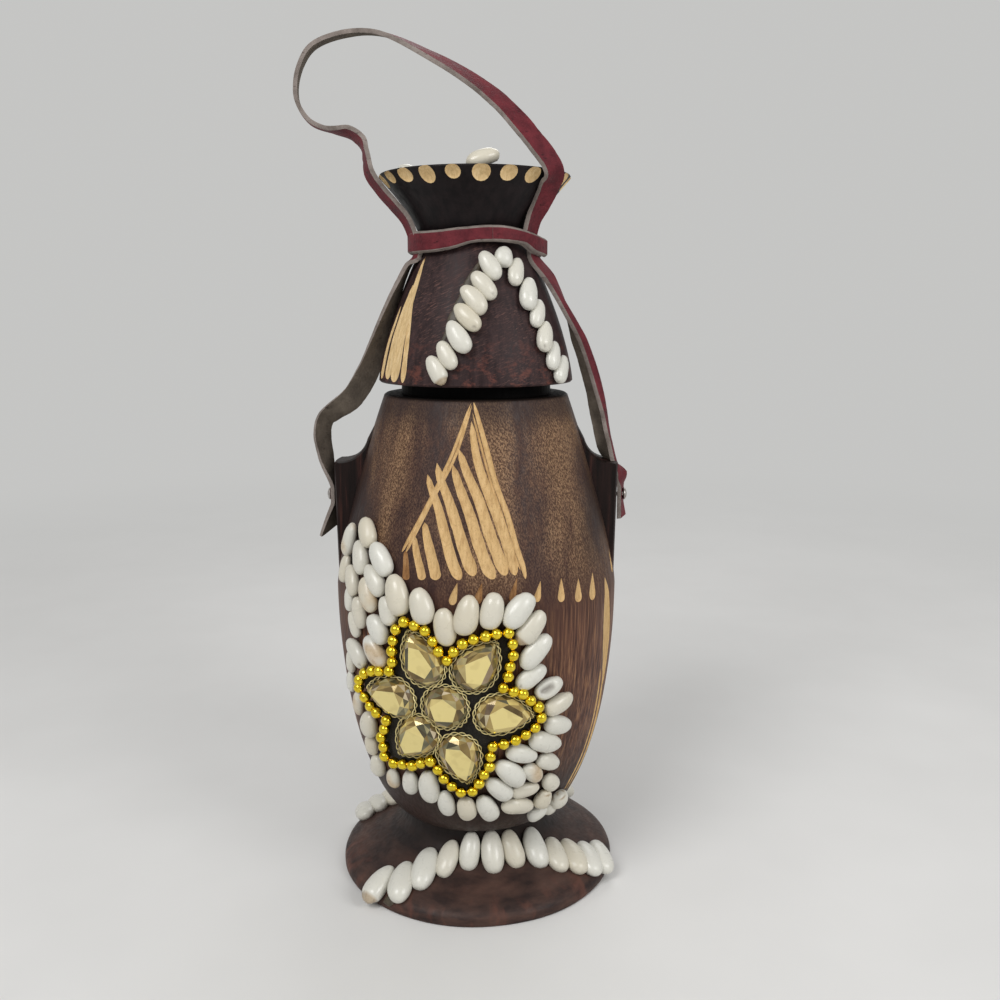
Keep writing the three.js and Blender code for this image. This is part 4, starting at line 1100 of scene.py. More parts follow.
def lug(side):
    """A lug left standing at the shoulder, with a hollow curve down to its ledge and softened edges."""
    inner = [(pot_radius(height) - BODY_WALL / 2, height)
             for height in steps(LUG_MEETS, LUG_ROOT, LUG_STEPS)]
    angles = [math.radians(angle) for angle in steps(0, LUG_SWEEP, LUG_CURVE_STEPS)]
    curve = [(LUG_RADIUS - LUG_LEDGE - LUG_FILLET * math.sin(angle),
              LUG_TOP + LUG_FILLET * (1 - math.cos(angle))) for angle in angles]
    rim = [(lerp(BELLY_RADIUS - LUG_SUNK, LUG_RADIUS, share), lerp(LUG_ROOT, LUG_TOP - LUG_EDGE, share))
           for share in steps(0, 1, LUG_STEPS)]
    outline = [*rim, (LUG_RADIUS - LUG_EDGE * LUG_ROUND, LUG_TOP - LUG_EDGE * LUG_ROUND),
               (LUG_RADIUS - LUG_EDGE, LUG_TOP), *curve,
               (pot_radius(LUG_MEETS) - LUG_SUNK, LUG_MEETS), *inner]
    rings = []
    for share in steps(-1, 1, LUG_STEPS):
        across = share * LUG_WIDTH / 2
        inset = LUG_EDGE * LUG_SIDE_ROUND if abs(share) == 1 else 0
        rings.append([Vector((side * math.sqrt((radius - inset) ** 2 - across ** 2), across,
                              height - inset / 2)) for radius, height in outline])
    return skin(rings)


def pot_outline():
    cavity = steps(SHOULDER_HEIGHT - MOUTH_DEPTH, FLOOR_HEIGHT + FLOOR_ROUND, CAVITY_STEPS)
    return [
        (FOOT_RADIUS - FOOT_CHAMFER, 0), (FOOT_RADIUS - FOOT_CHAMFER / 3, FOOT_CHAMFER / 3),
        (FOOT_RADIUS, FOOT_CHAMFER), *profile(pot_radius, FOOT_EDGE, WAIST_HEIGHT),
        *profile(pot_radius, WAIST_HEIGHT, BELLY_HEIGHT)[1:],
        *profile(pot_radius, BELLY_HEIGHT, SHOULDER_HEIGHT - SOFT_EDGE)[1:],
        (SHOULDER_RADIUS - SOFT_EDGE, SHOULDER_HEIGHT), (NECK_RADIUS, SHOULDER_HEIGHT),
        (NECK_RADIUS - NECK_TAPER, NECK_TOP - SOFT_EDGE), (NECK_RADIUS - NECK_TAPER - SOFT_EDGE, NECK_TOP),
        (MOUTH_RADIUS + SOFT_EDGE, NECK_TOP), (MOUTH_RADIUS, NECK_TOP - SOFT_EDGE),
        (MOUTH_RADIUS, SHOULDER_HEIGHT - BODY_WALL),
        *((pot_radius(height) - BODY_WALL, height) for height in cavity),
        (pot_radius(cavity[-1]) - BODY_WALL - FLOOR_ROUND, FLOOR_HEIGHT),
    ]


def lid_outline():
    return [
        (NECK_RADIUS - NECK_TAPER + SOCKET_CLEARANCE, SOCKET_TOP),
        (NECK_RADIUS + SOCKET_CLEARANCE, LID_BOTTOM),
        (SKIRT_RADIUS - SOFT_EDGE, LID_BOTTOM), *profile(lid_radius, LID_BOTTOM + SOFT_EDGE, LID_WAIST),
        *profile(lid_radius, LID_WAIST, LID_TOP - SOFT_EDGE)[1:], (FLARE_RADIUS - SOFT_EDGE / 2, LID_TOP),
    ]


def make_body():
    body = piece("carved_body", [turned(pot_outline())], BODY_WOOD)
    for side in (-1, 1):
        combine(body, piece("lug", [lug(side)], LUG_WOOD), "UNION")
    gouge, line, drop = stroke(GOUGE_POINT), stroke(LINE_POINT), stroke(DROP_POINT, DROP_ROUND)
    bare = [
        *seen_cuts(GOUGES, CUT_DEPTH, gouge), *seen_cuts(LINES, LINE_DEPTH, line),
        *seen_cuts(SIDE_LINES, LINE_DEPTH, line, SIDE_EVENING),
        *seen_cuts(LEAVES, CUT_DEPTH, leaf, SIDE_EVENING),
        *seen_cuts(DROPS, CUT_DEPTH, drop), *back_drops(drop),
    ]
    stained = [*seen_cuts(STAINED_GOUGES, CUT_DEPTH, gouge), *seen_cuts(STAINED_DROPS, CUT_DEPTH, drop)]
    shades = [0] * len(bare) + [1] * len(stained)
    combine(body, piece("cutters", bare + stained, CUT_WOOD, STAINED_WOOD, shades=shades), "DIFFERENCE")
    soften(body.data, CARVED_SHARP)
    settle(body, "pot", "dark_wood", "pot_body")


def make_lid():
    rng = random.Random(SEED)
    lid = piece("carved_lid", [turned(lid_outline())], LID_WOOD)
    pitch = 360 / RIM_NOTCHES
    cutters = [scoop_cutter(RIM_NOTCH_AZIMUTH + pitch * k, rng) for k in range(RIM_NOTCHES)]
    for pixels, width in FAN_STROKES:
        path = seen_path(pixels, lid_radius, CUT_SHARES)
        for turn in (0, FAN_TURN):
            turned_path = [(azimuth + turn, height) for azimuth, height in path]
            cutters.append(cutter(lid_radius, turned_path, width, CUT_DEPTH, stroke(FAN_POINT)))
    combine(lid, piece("cutters", cutters, LID_CUT), "DIFFERENCE")
    soften(lid.data, CARVED_SHARP)
    settle(lid, "lid", "dark_wood", "lid")


def glue_form(radius_at, pixels, width, thickness):
    """A low uneven bead of glue along a line of pixels."""
    shares = steps(0, 1, GLUE_STATIONS)
    turns = steps(0, math.pi, GLUE_SIDES)
    frames = path_frames(radius_at, seen_path(pixels, radius_at, shares))
    rings = []
    for share, (at, across, out) in zip(shares, frames):
        half = leaf(share) * waver(at, *GLUE_WAVER) * width / 2
        rings.append([at + across * math.cos(turn) * half + out * (math.sin(turn) * thickness - GLUE_SINK)
                      for turn in turns])
    return skin(rings)


def make_glue():
    for name, body, radius_at, lines in (("lid_glue", "lid", lid_radius, LID_GLUE),
                                         ("pot_glue", "pot", pot_radius, FOOT_GLUE + BODY_GLUE)):
        settle(piece(name, [glue_form(radius_at, *line) for line in lines], GLUE), body, "white_shell")


# Shells

def shell_mark(look, share, turn, lean, drift):
    """What shows at a place on a shell: its share of the full girth, and its stain and dark marks."""
    groove = stain = dark = 0.0
    if share > WHORL_FROM:
        whorl = (share - WHORL_FROM) / (1 - WHORL_FROM)
        groove = max(math.cos(turn + WHORL_TURN * whorl), 0) ** WHORL_CREST
    girth = 1 - WHORL_DEPTH * groove
    off_top = turn - math.pi / 2 - lean
    away = math.atan2(math.sin(off_top), math.cos(off_top))
    if look == "spiral":
        stain, dark = (mark * groove for mark in WHORL_MARKS)
    elif look == "open":
        gape = clamp(1 - (away / OPEN_SIZE) ** 2) * clamp(1 - ((share - OPEN_AT) / OPEN_SIZE) ** 2)
        girth *= 1 - OPEN_DEPTH * gape
        dark = OPEN_DARK * clamp(2 * gape)
    elif look == "holed":
        hole = clamp(HOLE_EDGE - math.hypot(away / HOLE_SIZE[0], (share - HOLE_AT) / HOLE_SIZE[1]))
        girth *= 1 - HOLE_DEPTH * hole
        dark = HOLE_DARK * hole
    elif look == "chipped" and share < CHIP_FROM:
        girth *= CHIP_GIRTH + CHIP_UNEVEN * noise.noise(Vector((CHIP_FINENESS * away, share, 0)) + drift)
        stain, dark = CHIP_MARKS
    return girth, stain, dark


def shell_form(length, width, height, look, rng):
    """One shell lying along Y on Z = 0: its rings of points, and a stain, dark and cream mark for each."""
    bend = rng.uniform(-SHELL_BEND, SHELL_BEND)
    egg = rng.uniform(*SHELL_EGG)
    cream = SHELL_TINT * rng.random() ** 2
    lean = rng.uniform(-SHELL_LEAN, SHELL_LEAN)
    drift = Vector([rng.uniform(0, SHELL_DRIFT) for _ in range(3)])
    rings = []
    marks = []
    for k in range(1, SHELL_RINGS):
        share = -math.cos(math.pi * k / SHELL_RINGS)
        full = (1 - abs(share) ** SHELL_BLUNT) ** (1 / SHELL_BLUNT) * (1 - egg * share)
        ring = []
        for j in range(SHELL_SIDES):
            turn = 2 * math.pi * j / SHELL_SIDES
            girth, stain, dark = shell_mark(look, share, turn, lean, drift)
            girth *= full
            point = Vector((girth * math.cos(turn) * width / 2 + bend * share * share * width,
                            share * length / 2, (1 + girth * math.sin(turn)) * height / 2))
            point += noise.noise_vector(point / SHELL_UNEVEN_SPAN + drift) * SHELL_UNEVEN
            point.z = max(point.z, SHELL_FLAT * height)
            if look == "stained":
                spots = STAIN_CONTRAST * noise.noise(point / STAIN_SPAN + drift)
                stain = STAIN * clamp(spots + STAIN_LEVEL - STAIN_FALL * share)
            ring.append(point)
            marks.append((clamp(stain), clamp(dark), cream, 1))
        rings.append(ring)
    return rings, marks


def seated_shell(shell, radius_at):
    """A shell read on the photograph: its frame on the wood, its length, width and height, and its look."""
    across, down, lean, length, width, look = (*shell, "plain")[:6]
    ray = sight((across, down))
    hit = seen_at((across, down), radius_at, SHELL_LIFT)
    out = seat(radius_at, azimuth_of(hit), hit.z)[3]
    facing = -ray.dot(out)
    image_way = RIGHT * math.sin(math.radians(lean)) + UPWARD * math.cos(math.radians(lean))
    along = image_way + ray * (image_way.dot(out) / max(facing, LEAST_FACING))
    along -= out * along.dot(out)
    scale = (hit - CAMERA).dot(FORWARD) / FOCAL_PIXELS
    long = length * scale * clamp(along.length, 1, SHELL_MOST_STRETCH)
    wide = max(width * scale, SHELL_LEAST_WIDTH * long)
    high = wide * SHELL_HEIGHT * lerp(FLATTEST, 1, max(facing, 0))
    place = shell_frame(hit - out * (SHELL_LIFT + SHELL_SINK), along.normalized(), out)
    return place, long, wide, high, look


def shell_frame(at, along, out):
    return Matrix.Translation(at) @ Matrix((along.cross(out), along, out)).transposed().to_4x4()


def shell_group(name, body, node, placed, rng):
    """The shells of one glued row; placed holds each one's frame, length, width, height and look."""
    forms = []
    marks = []
    for place, *sizes, look in placed:
        rings, shades = shell_form(*sizes, look, rng)
        forms.append(skin([[place @ point for point in ring] for ring in rings]))
        marks.extend(shades)
    made = piece(name, forms, SHELL, sharp=ALL_SMOOTH)
    attribute = made.data.color_attributes.new("marks", "FLOAT_COLOR", "POINT")
    attribute.data.foreach_set("color", [value for shade in marks for value in shade])
    settle(made, body, "white_shell", node)


def nearest_node(at, nodes):
    """The solid among nodes that lies nearest to a point."""
    def distance(node):
        return min((at * MM - corner.co).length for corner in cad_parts[node].data.vertices)

    return min(nodes, key=distance)


def make_shells():
    rng = random.Random(SEED)
    rows = {}

    def add(node, *placed):
        rows.setdefault(node, []).append(placed)

    columns = ((RING_SHELLS, "flower_shells_", PETALS), (LEFT_SHELLS, "left_shells_", SIDE_ROWS),
               (RIGHT_SHELLS, "right_shells_", SIDE_ROWS))
    for shells, prefix, count in columns:
        nodes = [f"{prefix}{k + 1}" for k in range(count)]
        for shell in shells:
            placed = seated_shell(shell, pot_radius)
            add(nearest_node(placed[0].translation, nodes), *placed)
    sets = (("foot_shells_{}", FOOT_SHELLS, pot_radius), ("lid_{}_shell_apex", LID_APEX_SHELLS, lid_radius),
            ("lid_{}_shells_left", LID_LEFT_SHELLS, lid_radius),
            ("lid_{}_shells_right", LID_RIGHT_SHELLS, lid_radius))
    for face, turn in (("front", Matrix.Identity(4)), ("back", Matrix.Rotation(math.pi, 4, "Z"))):
        for pattern, shells, radius_at in sets:
            for shell in shells:
                place, *rest = seated_shell(shell, radius_at)
                add(pattern.format(face), turn @ place, *rest)
    for k, azimuth in enumerate(TOP_SHELL_AZIMUTHS):
        radial = outward(azimuth)
        round_way = Vector((-radial.y, radial.x, 0))
        tilt = Matrix.Rotation(math.radians(TOP_SHELL_TILT), 3, radial)
        at = radial * TOP_SHELL_RADIUS + Vector((0, 0, LID_TOP - TOP_SHELL_SINK))
        place = shell_frame(at, tilt @ round_way, tilt @ Vector((0, 0, 1)))
        length, width = TOP_SHELL_SIZE
        add(f"lid_top_shell_{k + 1}", place, length, width, width * SHELL_HEIGHT, "plain")
    for node, placed in rows.items():
        body = "lid" if node.startswith("lid") else "pot"
        shell_group(f"glued_{node}", body, node, placed, rng)


# Flower

BEAD_LIFT = BACKING_TOP + SEAT_GAP + BEAD_DIAMETER / 2


def make_backing(beads):
    """The black cloth, spread from the flower's middle to the string of beads."""
    centre = seen_at(CENTRE_PIXEL, pot_radius)
    shares = steps(BACKING_MIDDLE, 1, BACKING_RINGS)
    rings = []
    for lift, way in ((BACKING_LIFT, shares), (BACKING_TOP, shares[::-1])):
        for share in way:
            rings.append([seat(pot_radius, lerp(azimuth_of(centre), azimuth_of(at), share),
                               lerp(centre.z, at.z, share), lift)[0] for at in beads])
    settle(piece("cloth_backing", [skin(rings)], FELT), "pot", "black_cloth", "flower_backing")


def bead(at, along, out, rng):
    """A round bead threaded along its axis, with the ends of its hole showing."""
    size = BEAD_DIAMETER / 2 * rng.uniform(*BEAD_SPREAD)
    side = along.cross(out)
    hole, depth = BEAD_HOLE
    angles = [math.radians(angle) for angle in steps(-BEAD_END, BEAD_END, BEAD_RINGS)]
    outline = [(hole, -depth), *((math.cos(angle), math.sin(angle)) for angle in angles), (hole, depth)]
    return skin([hoop(at + along * size * level, side, out, size * radius, BEAD_SIDES)
                 for radius, level in outline])


def make_beads(beads):
    rng = random.Random(SEED)
    forms = []
    thread = []
    for k, at in enumerate(beads):
        along = (beads[(k + 1) % len(beads)] - beads[k - 1]).normalized()
        out = seat(pot_radius, azimuth_of(at), at.z)[3]
        tilt = (along + Vector([rng.uniform(-BEAD_TILT, BEAD_TILT) for _ in range(3)])).normalized()
        forms.append(bead(at, tilt, (out - tilt * out.dot(tilt)).normalized(), rng))
        side = along.cross(out).normalized()
        thread.append(hoop(at, side, out, THREAD_RADIUS, WIRE_SIDES))
    forms.append(skin(thread, is_ring=True))
    shades = [0] * len(beads) + [1]
    settle(piece("gold_bead_string", forms, GOLD, WIRE, shades=shades), "pot", "gold_beads", "bead_string")


def pear(angle, length, width, pointed):
    """A point on a gem's outline; a pear has its tip at angle 0."""
    full = abs(math.sin(angle / 2)) ** PEAR_POINT / PEAR_FULLNESS if pointed else 1
    return math.cos(angle) * length / 2, math.sin(angle) * full * width / 2


def gem_place(pixel):
    """The frame of a gem: its tip points away from the flower's centre."""
    lift = BACKING_TOP + SEAT_GAP
    hit = seen_at(pixel, pot_radius, lift + GEM_HEIGHT / 2)
    centre = seen_at(CENTRE_PIXEL, pot_radius, lift + GEM_HEIGHT / 2)
    at, round_way, _, out = seat(pot_radius, azimuth_of(hit), hit.z, lift)
    along = hit - centre if pixel != CENTRE_PIXEL else round_way
    along = (along - out * along.dot(out)).normalized()
    return Matrix.Translation(at) @ Matrix((along, out.cross(along), out)).transposed().to_4x4()


# Rings of a gem's corners: share of its outline, height, number, and share of a corner they are turned by
GEM_LEVELS = [(1, 0, 28, 0), (1, 1, 28, 0), (0.92, 2.5, 14, 0.5), (0.79, 3.7, 9, 0.2),
              (0.64, GEM_HEIGHT, 5, 0.35)]
FACET_STRAY = 0.16
FACET_MERGE = math.radians(2)
# Painted reflection: brightness levels of the facets, bright on the table and dark on the rim
FACET_REFLECTIONS = (0.2, 0.34, 0.46, 0.56, 0.68, 0.84)
TABLE_REFLECTION = 0.95
RIM_REFLECTION = 0.24
FACING_TABLE = 0.97
FACING_RIM = 0.3


def make_gem(name, node, place, length, width, pointed, rng):
    """A cut gem hulled from its girdle, crown and table, each facet with its own painted reflection and hue.
    """
    shape = bmesh.new()
    for scale, height, corners, shift in GEM_LEVELS:
        for k in range(corners):
            stray = rng.uniform(-FACET_STRAY, FACET_STRAY) if scale < 1 else 0
            x, y = pear(2 * math.pi * (k + shift + stray) / corners, length * scale, width * scale, pointed)
            shape.verts.new(place @ Vector((x, y, height)) * MM)
    bmesh.ops.convex_hull(shape, input=shape.verts)
    bmesh.ops.dissolve_limit(shape, angle_limit=FACET_MERGE, verts=shape.verts, edges=shape.edges)
    bmesh.ops.recalc_face_normals(shape, faces=shape.faces)
    mesh = bpy.data.meshes.new(name)
    shape.to_mesh(mesh)
    shape.free()
    mesh.materials.append(GEM)
    facet = mesh.color_attributes.new("facet", "FLOAT_COLOR", "CORNER")
    out = place.to_3x3().col[2]
    for polygon in mesh.polygons:
        # Painted reflection: the table is painted bright, the rim dark, and other facets at random levels
        facing = polygon.normal.dot(out)
        light, hue = rng.choice(FACET_REFLECTIONS), rng.random() ** 2
        if facing > FACING_TABLE:
            light, hue = TABLE_REFLECTION, 0
        elif facing < FACING_RIM:
            light, hue = RIM_REFLECTION, 0
        for corner in polygon.loop_indices:
            facet.data[corner].color = (light, hue, 0, 1)
    made = bpy.data.objects.new(name, mesh)
    bpy.context.scene.collection.objects.link(made)
    settle(made, "pot", "cut_gems", node)


def make_cord(name, node, place, length, width, pointed):
    """Two thin wires twisted loosely round each other and laid round a gem."""
    count = WIRE_STEPS * WIRE_TWISTS
    up = Vector((0, 0, 1))
    forms = []
    for phase in (0, math.pi):
        rings = []
        for k in range(count):
            angle = 2 * math.pi * k / count
            x, y = pear(angle, length, width, pointed)
            out = Vector((x, y, 0)).normalized()
            turn = phase + WIRE_TWISTS * angle
            at = Vector((x, y, WIRE_LIFT)) + out * (SEAT_GAP + WIRE_SPREAD * (1 + math.cos(turn)))
            at += up * WIRE_SPREAD * math.sin(turn)
            rings.append([place @ point for point in hoop(at, out, up, WIRE_RADIUS, WIRE_SIDES)])
        forms.append(skin(rings, is_ring=True))
    settle(piece(name, forms, WIRE), "pot", "gold_cord", node)


def make_flower():
    rng = random.Random(SEED)
    beads = [seen_at(pixel, pot_radius, BEAD_LIFT) for pixel in BEAD_PIXELS]
    make_backing(beads)
    make_beads(beads)
    centre = gem_place(CENTRE_PIXEL)
    make_gem("cut_gem_centre", "gem_centre", centre, CENTRE_GEM, CENTRE_GEM, False, rng)
    make_cord("wire_centre", "gem_cord_centre", centre, CENTRE_GEM, CENTRE_GEM, False)
    for k, pixel in enumerate(PETAL_PIXELS, start=1):
        place = gem_place(pixel)
        make_gem(f"cut_gem_{k}", f"gem_petal_{k}", place, PETAL_LENGTH, PETAL_WIDTH, True, rng)
        make_cord(f"wire_{k}", f"gem_cord_{k}", place, PETAL_LENGTH, PETAL_WIDTH, True)


# Leather

FRONT = Vector((0, -1, 0))
STRAP_SEAT = lid_radius(COLLAR_FOOT) + STRAP_GAP + STRAP_THICKNESS / 2
Station = namedtuple("Station", "at across out half fold cup slant skive", defaults=(0, 0, 0, SKIVE))


def strip_line(half, fold, cup):
    """Places across a strip, as offsets across and out and the way out, where it is folded or cupped."""
    def bend(wide):
        share = clamp((FOLD_AT + FOLD_SOFT - wide) / (2 * FOLD_SOFT))
        return math.radians(fold) * share * share * (3 - 2 * share) + cup * wide

    across = out = 0.0
    line = []
    for before, wide in zip([STRIP_WIDES[0], *STRIP_WIDES], STRIP_WIDES):
        angle = bend((before + wide) / 2)
        across += (wide - before) * half * math.cos(angle)
        out -= (wide - before) * half * math.sin(angle)
        line.append((across, out, bend(wide)))
    middle = [sum(place[axis] for place in line) / len(line) for axis in (0, 1)]
    return [(u - middle[0], v - middle[1], math.sin(angle), math.cos(angle)) for u, v, angle in line]


def strip_ring(station, thickness, grain):
    """Points round a strip: along its under face, over one edge, back along its outer face, over the other.

    Grain is the level of the grain face, 1 or -1; it ends short of the other, so that the raw edge shows.
    """
    ragged = waver(station.at, FRAY, FRAY_SPAN) + FRAY / 2 * noise.noise(station.at * FRAY_FINENESS)
    line = strip_line(station.half * ragged - station.skive, station.fold, station.cup)
    along = station.across.cross(station.out)
    last = len(line) - 1

    def place(k, level):
        u, v, normal_u, normal_v = line[k]
        lift = level * thickness / 2
        beyond = 0.0
        if k in (0, last):
            beyond = math.copysign(station.skive * clamp((1 - level * grain) * EDGE_REACH), STRIP_WIDES[k])
        u += normal_u * lift + normal_v * beyond
        v += normal_v * lift - normal_u * beyond
        return station.at + station.across * u + station.out * v + along * station.slant * STRIP_WIDES[k]

    under = [place(k, -1) for k in range(last + 1)]
    outer = [place(k, 1) for k in range(last, -1, -1)]
    return [*under, place(last, -EDGE_LEVEL), place(last, EDGE_LEVEL), *outer, place(0, EDGE_LEVEL),
            place(0, -EDGE_LEVEL)]


def ribbon(name, stations, grain_out, thickness=STRAP_THICKNESS, is_ring=False):
    """A strip of leather through stations, with a grain face, a flesh face and raw edges."""
    grain = 1 if grain_out else -1
    made = piece(name, [skin([strip_ring(station, thickness, grain) for station in stations], is_ring)],
                 RAW_EDGE, FLESH, GRAIN, sharp=LEATHER_SHARP)
    face = len(STRIP_WIDES) - 1
    sides = 2 * len(STRIP_WIDES) + 4
    under, outer = (1, 2) if grain_out else (2, 1)
    for k, polygon in enumerate(made.data.polygons):
        side = k % sides
        if len(polygon.vertices) > 4:
            polygon.material_index = 0
        elif side < face:
            polygon.material_index = under
        elif face + 3 <= side < 2 * face + 3:
            polygon.material_index = outer
    return made


def strap_stations(points, ways, count):
    """Stations of a strap that faces the front with its width; ways holds twist, width, fold and cup."""
    stations = []
    for at, place, along in smooth_line(points, count):
        before = min(int(place), len(points) - 2)
        pairs = zip(ways[before], ways[before + 1])
        twist, width, fold, cup = (lerp(low, high, place - before) for low, high in pairs)
        across = (FRONT - along * FRONT.dot(along)).normalized()
        across = Matrix.Rotation(math.radians(twist), 3, along) @ across
        stations.append(Station(at, across, along.cross(across), STRAP_WIDTH * width / 2, fold, cup))
    return stations


def make_run(name, node, side, route, tail, tack_twist=0, tack_lift=0):
    """One run of the strap, from under the collar band down to its cut end on the lug."""
    drop, flare, tail_twist, slant = tail
    head = outward(side * STRAP_AZIMUTH) * STRAP_SEAT
    lug_x = side * (LUG_RADIUS + SEAT_GAP + STRAP_THICKNESS / 2 + tack_lift)
    points = [head + Vector((0, 0, height)) for height in (COLLAR_FOOT + STRAP_TUCK, COLLAR_FOOT)]
    points += [Vector(place[:3]) for place in route]
    points += [Vector((lug_x, 0, TACK_HEIGHT + rise)) for rise in (TACK_FLAT, 0, -TACK_FLAT)]
    points.append(Vector((lug_x + side * flare, 0, TACK_HEIGHT - drop)))
    at_collar = (side * (90 - STRAP_AZIMUTH), 1, 0, -side * STRAP_CUP)
    ways = [at_collar, at_collar, *((twist, width, fold, 0) for _, _, _, twist, width, fold in route)]
    ways += [(tack_twist, 1, 0, 0)] * 3
    ways.append((tail_twist, 1, 0, 0))
    stations = strap_stations(points, ways, RUN_STATIONS)
    for k in range(1, SLANT_REACH + 1):
        stations[-k] = stations[-k]._replace(slant=slant * (1 - (k - 1) / SLANT_REACH) ** 2)
    run = ribbon(name, stations, grain_out=side < 0)
    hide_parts(node)
    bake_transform(run)


def make_loop():
    """The loop of the strap over the lid, its ends tucked behind the collar band."""
    pivot = COLLAR_TOP + COLLAR_CLEAR + STRAP_WIDTH / 2

    def beside(azimuth, height, clear=LOOP_CLEAR):
        reach = lid_radius(height) + clear + STRAP_THICKNESS / 2
        return outward(azimuth) * reach + Vector((0, 0, height))

    def tucked(azimuth):
        return outward(azimuth) * STRAP_SEAT + Vector((0, 0, COLLAR_TOP - STRAP_TUCK))

    left_end = 90 - STRAP_AZIMUTH
    right_end = 90 - LOOP_RIGHT_AZIMUTH
    points = [tucked(-STRAP_AZIMUTH), beside(-STRAP_AZIMUTH, pivot, LOOP_LEFT_CLEAR)]
    twists = [left_end] * 2
    for share, azimuth, clear, _, _ in LOOP_FLARE:
        points.append(beside(-azimuth, lerp(pivot, LID_TOP, share), clear))
        twists.append(90 - azimuth)
    for x, y, rise, twist in LOOP_ROUTE:
        points.append(Vector((x, y, LID_TOP + rise)))
        twists.append(twist)
    for share, _, _, azimuth, twist in LOOP_FLARE[::-1]:
        points.append(beside(azimuth, lerp(pivot, LID_TOP, share)))
        twists.append(twist)
    points += [beside(LOOP_RIGHT_AZIMUTH, pivot), tucked(LOOP_RIGHT_AZIMUTH)]
    twists += [right_end] * 2
    cups = [STRAP_CUP] * 2 + [0] * (len(twists) - 4) + [STRAP_CUP] * 2
    ways = [(twist, 1, 0, cup) for twist, cup in zip(twists, cups)]
    stations = strap_stations(points, ways, LOOP_STATIONS)
    loop = ribbon("leather_loop", stations, grain_out=False)
    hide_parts("strap_loop")
    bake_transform(loop)


def collar_station(azimuth, lift=0.0):
    """A place on the collar band: higher in front, tilted sideways, and pushed up over the top shell."""
    front = lid_radius(COLLAR_FOOT) + STRAP_GAP + COLLAR_THICKNESS / 2
    sideways = math.sin(math.radians(azimuth))
    share = min(abs(sideways) / math.sin(math.radians(STRAP_AZIMUTH - COLLAR_EASE)), 1)
    arch = math.cos(math.radians(azimuth - COLLAR_ARCH_AZIMUTH)) ** COLLAR_ARCH_BEND
    first, last = APEX_AZIMUTHS
    away = (azimuth + 180) % 360 - 180
    before, after = APEX_SPREADS
    push = math.exp(-max((first - away) / before, (away - last) / after, 0) ** 2)
    top_rise, foot_rise = COLLAR_ARCH_RISES
    top_tilt, foot_tilt = COLLAR_TILTS
    top = COLLAR_TOP + top_rise * arch - top_tilt * sideways
    foot = COLLAR_FOOT + COLLAR_FOOT_RISE + foot_rise * arch - foot_tilt * sideways + APEX_PUSH * push
    out = outward(azimuth)
    at = out * (lerp(front, COLLAR_SIDE, share) + lift) + Vector((0, 0, (top + foot) / 2))
    return Station(at, Vector((0, 0, 1)), out, (top - foot) / 2, skive=COLLAR_SKIVE)


def make_collar():
    ring = [collar_station(360 * k / COLLAR_STATIONS) for k in range(COLLAR_STATIONS)]
    band = ribbon("collar_ring", ring, True, COLLAR_THICKNESS, is_ring=True)
    settle(band, "collar", "red_leather", "collar_band")
    start, stop = COLLAR_LAP
    lap = COLLAR_THICKNESS + COLLAR_LAP_GAP
    stations = [collar_station(azimuth, lap * clamp((azimuth - start) / COLLAR_LAP_EASE, COLLAR_LAP_LEAST))
                for azimuth in steps(start, stop, COLLAR_LAP_STEPS)]
    last = stations[-1]
    way = (last.at - stations[-2].at).normalized()
    stations += [last._replace(at=last.at + way * reach)
                 for reach in steps(1, COLLAR_END, COLLAR_END_STEPS)]
    settle(ribbon("collar_end", stations, True, COLLAR_THICKNESS), "collar", "red_leather")


def make_tacks():
    for name, side, lift in (("left", -1, 0), ("right", 1, RIGHT_TACK_LIFT)):
        base = Vector((side * (LUG_RADIUS + 2 * SEAT_GAP + STRAP_THICKNESS + lift), 0, TACK_HEIGHT))
        rings = [hoop(base + RIGHT * side * rise, -FRONT, Vector((0, 0, 1)), radius, TACK_SIDES)
                 for radius, rise in TACK_OUTLINE]
        settle(piece(f"tack_{name}", [skin(rings)], STEEL), "pot", "tack_steel", f"strap_tack_{name}")


# Stage, light and camera

BACKDROP = (0.56, 0.56, 0.55)
FLOOR_REACH = 6000
FLOOR_SIDES = 96
FLOOR_FADE = (0.3, 1.1)
WORLD_LIGHT = 0.42
SEEN_RAYS = ("Is Camera Ray", "Is Glossy Ray", "Is Transmission Ray")


def seen_rays(tree):
    """1 for rays that show the backdrop: from the camera, mirrored or through glass."""
    path = tree.nodes.new("ShaderNodeLightPath")
    seen = path.outputs[SEEN_RAYS[0]]
    for kind in SEEN_RAYS[1:]:
        either = tree.nodes.new("ShaderNodeMath")
        either.operation = "MAXIMUM"
        tree.links.new(seen, either.inputs[0])
        tree.links.new(path.outputs[kind], either.inputs[1])
        seen = either.outputs[0]
    return seen


def mixed(tree, share, first, second, output):
    mix = tree.nodes.new("ShaderNodeMixShader")
    tree.links.new(share, mix.inputs["Fac"])
    tree.links.new(first, mix.inputs[1])
    tree.links.new(second, mix.inputs[2])
    tree.links.new(mix.outputs["Shader"], output.inputs["Surface"])


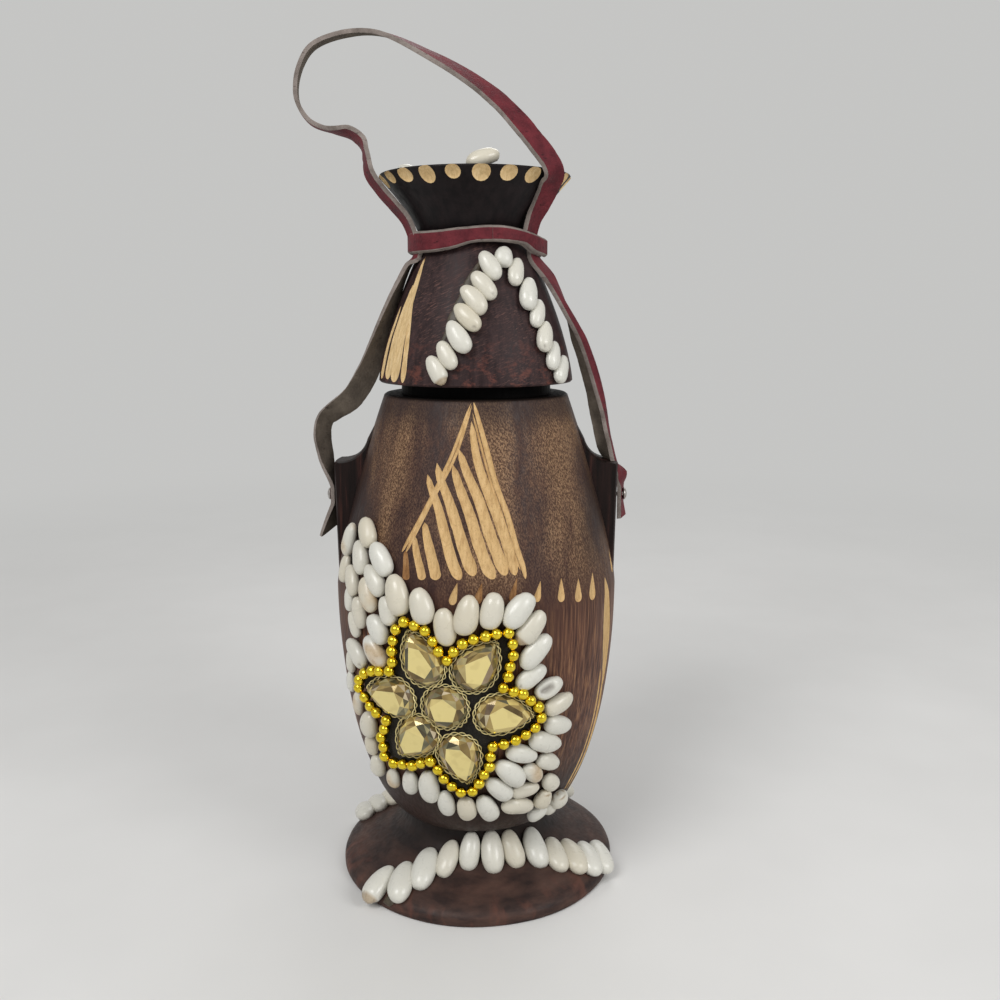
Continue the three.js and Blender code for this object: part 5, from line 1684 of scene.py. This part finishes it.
def make_floor():
    """A pale floor that turns into the backdrop's colour away from the pot."""
    pale = Finish("pale_floor", Roughness=0.7, Specular_IOR_Level=0.2)
    cloud = pale.cloud(9, detail=3)
    pale.drive("Base Color", pale.ramp(cloud, *FLOOR_TONES))
    away = pale.add("ShaderNodeVectorMath", operation="LENGTH")
    pale.feed(away.inputs[0], pale.place)
    far = pale.span(away.outputs["Value"], *FLOOR_FADE)
    glow = pale.add("ShaderNodeEmission")
    glow.inputs["Color"].default_value = (*BACKDROP, 1)
    share = pale.times(far, seen_rays(pale.tree))
    output = pale.tree.nodes["Material Output"]
    mixed(pale.tree, share, pale.shader.outputs["BSDF"], glow.outputs["Emission"], output)
    ring = [outward(360 * k / FLOOR_SIDES) * FLOOR_REACH for k in range(FLOOR_SIDES)]
    piece("floor", [(ring, [tuple(range(FLOOR_SIDES))])], pale.material)


def make_world():
    world = bpy.data.worlds.new("studio")
    bpy.context.scene.world = world
    world.use_nodes = True
    tree = world.node_tree
    light = tree.nodes["Background"]
    light.inputs["Color"].default_value = (1, 1, 1, 1)
    light.inputs["Strength"].default_value = WORLD_LIGHT
    backdrop = tree.nodes.new("ShaderNodeBackground")
    backdrop.inputs["Color"].default_value = (*BACKDROP, 1)
    output = tree.nodes["World Output"]
    mixed(tree, seen_rays(tree), light.outputs["Background"], backdrop.outputs["Background"], output)


# Lamps, as name, place and width in metres, and power in watts
LAMPS = [("key_lamp", (-0.5, -0.75, 0.95), 0.6, 7), ("fill_lamp", (0.7, -0.6, 0.6), 0.5, 3.6),
         ("back_lamp", (0.2, 0.8, 0.9), 0.7, 2.2)]
LAMP_TARGET = Vector((0, 0, 0.15))


def make_lamps():
    for name, place, size, power in LAMPS:
        data = bpy.data.lights.new(name, "AREA")
        data.shape = "DISK"
        data.size = size
        data.energy = power
        lamp = bpy.data.objects.new(name, data)
        lamp.location = place
        lamp.rotation_euler = (LAMP_TARGET - lamp.location).to_track_quat("-Z", "Y").to_euler()
        bpy.context.scene.collection.objects.link(lamp)


def make_camera():
    data = bpy.data.cameras.new("camera")
    data.sensor_width = SENSOR
    data.lens = SENSOR * FOCAL_PIXELS / (2 * IMAGE_CENTRE)
    camera = bpy.data.objects.new("camera", data)
    camera.location = CAMERA * MM
    camera.rotation_euler = (math.pi / 2 - PITCH, 0, 0)
    bpy.context.scene.collection.objects.link(camera)
    bpy.context.scene.camera = camera


make_camera()
make_body()
make_lid()
make_glue()
make_shells()
make_flower()
make_run("leather_left_run", "strap_left_run", -1, LEFT_ROUTE, LEFT_TAIL)
make_run("leather_right_run", "strap_right_run", 1, RIGHT_ROUTE, RIGHT_TAIL, RIGHT_TACK_TWIST,
         RIGHT_TACK_LIFT)
make_loop()
make_collar()
make_tacks()
make_floor()
make_world()
make_lamps()
bpy.context.scene.view_settings.view_transform = "Standard"
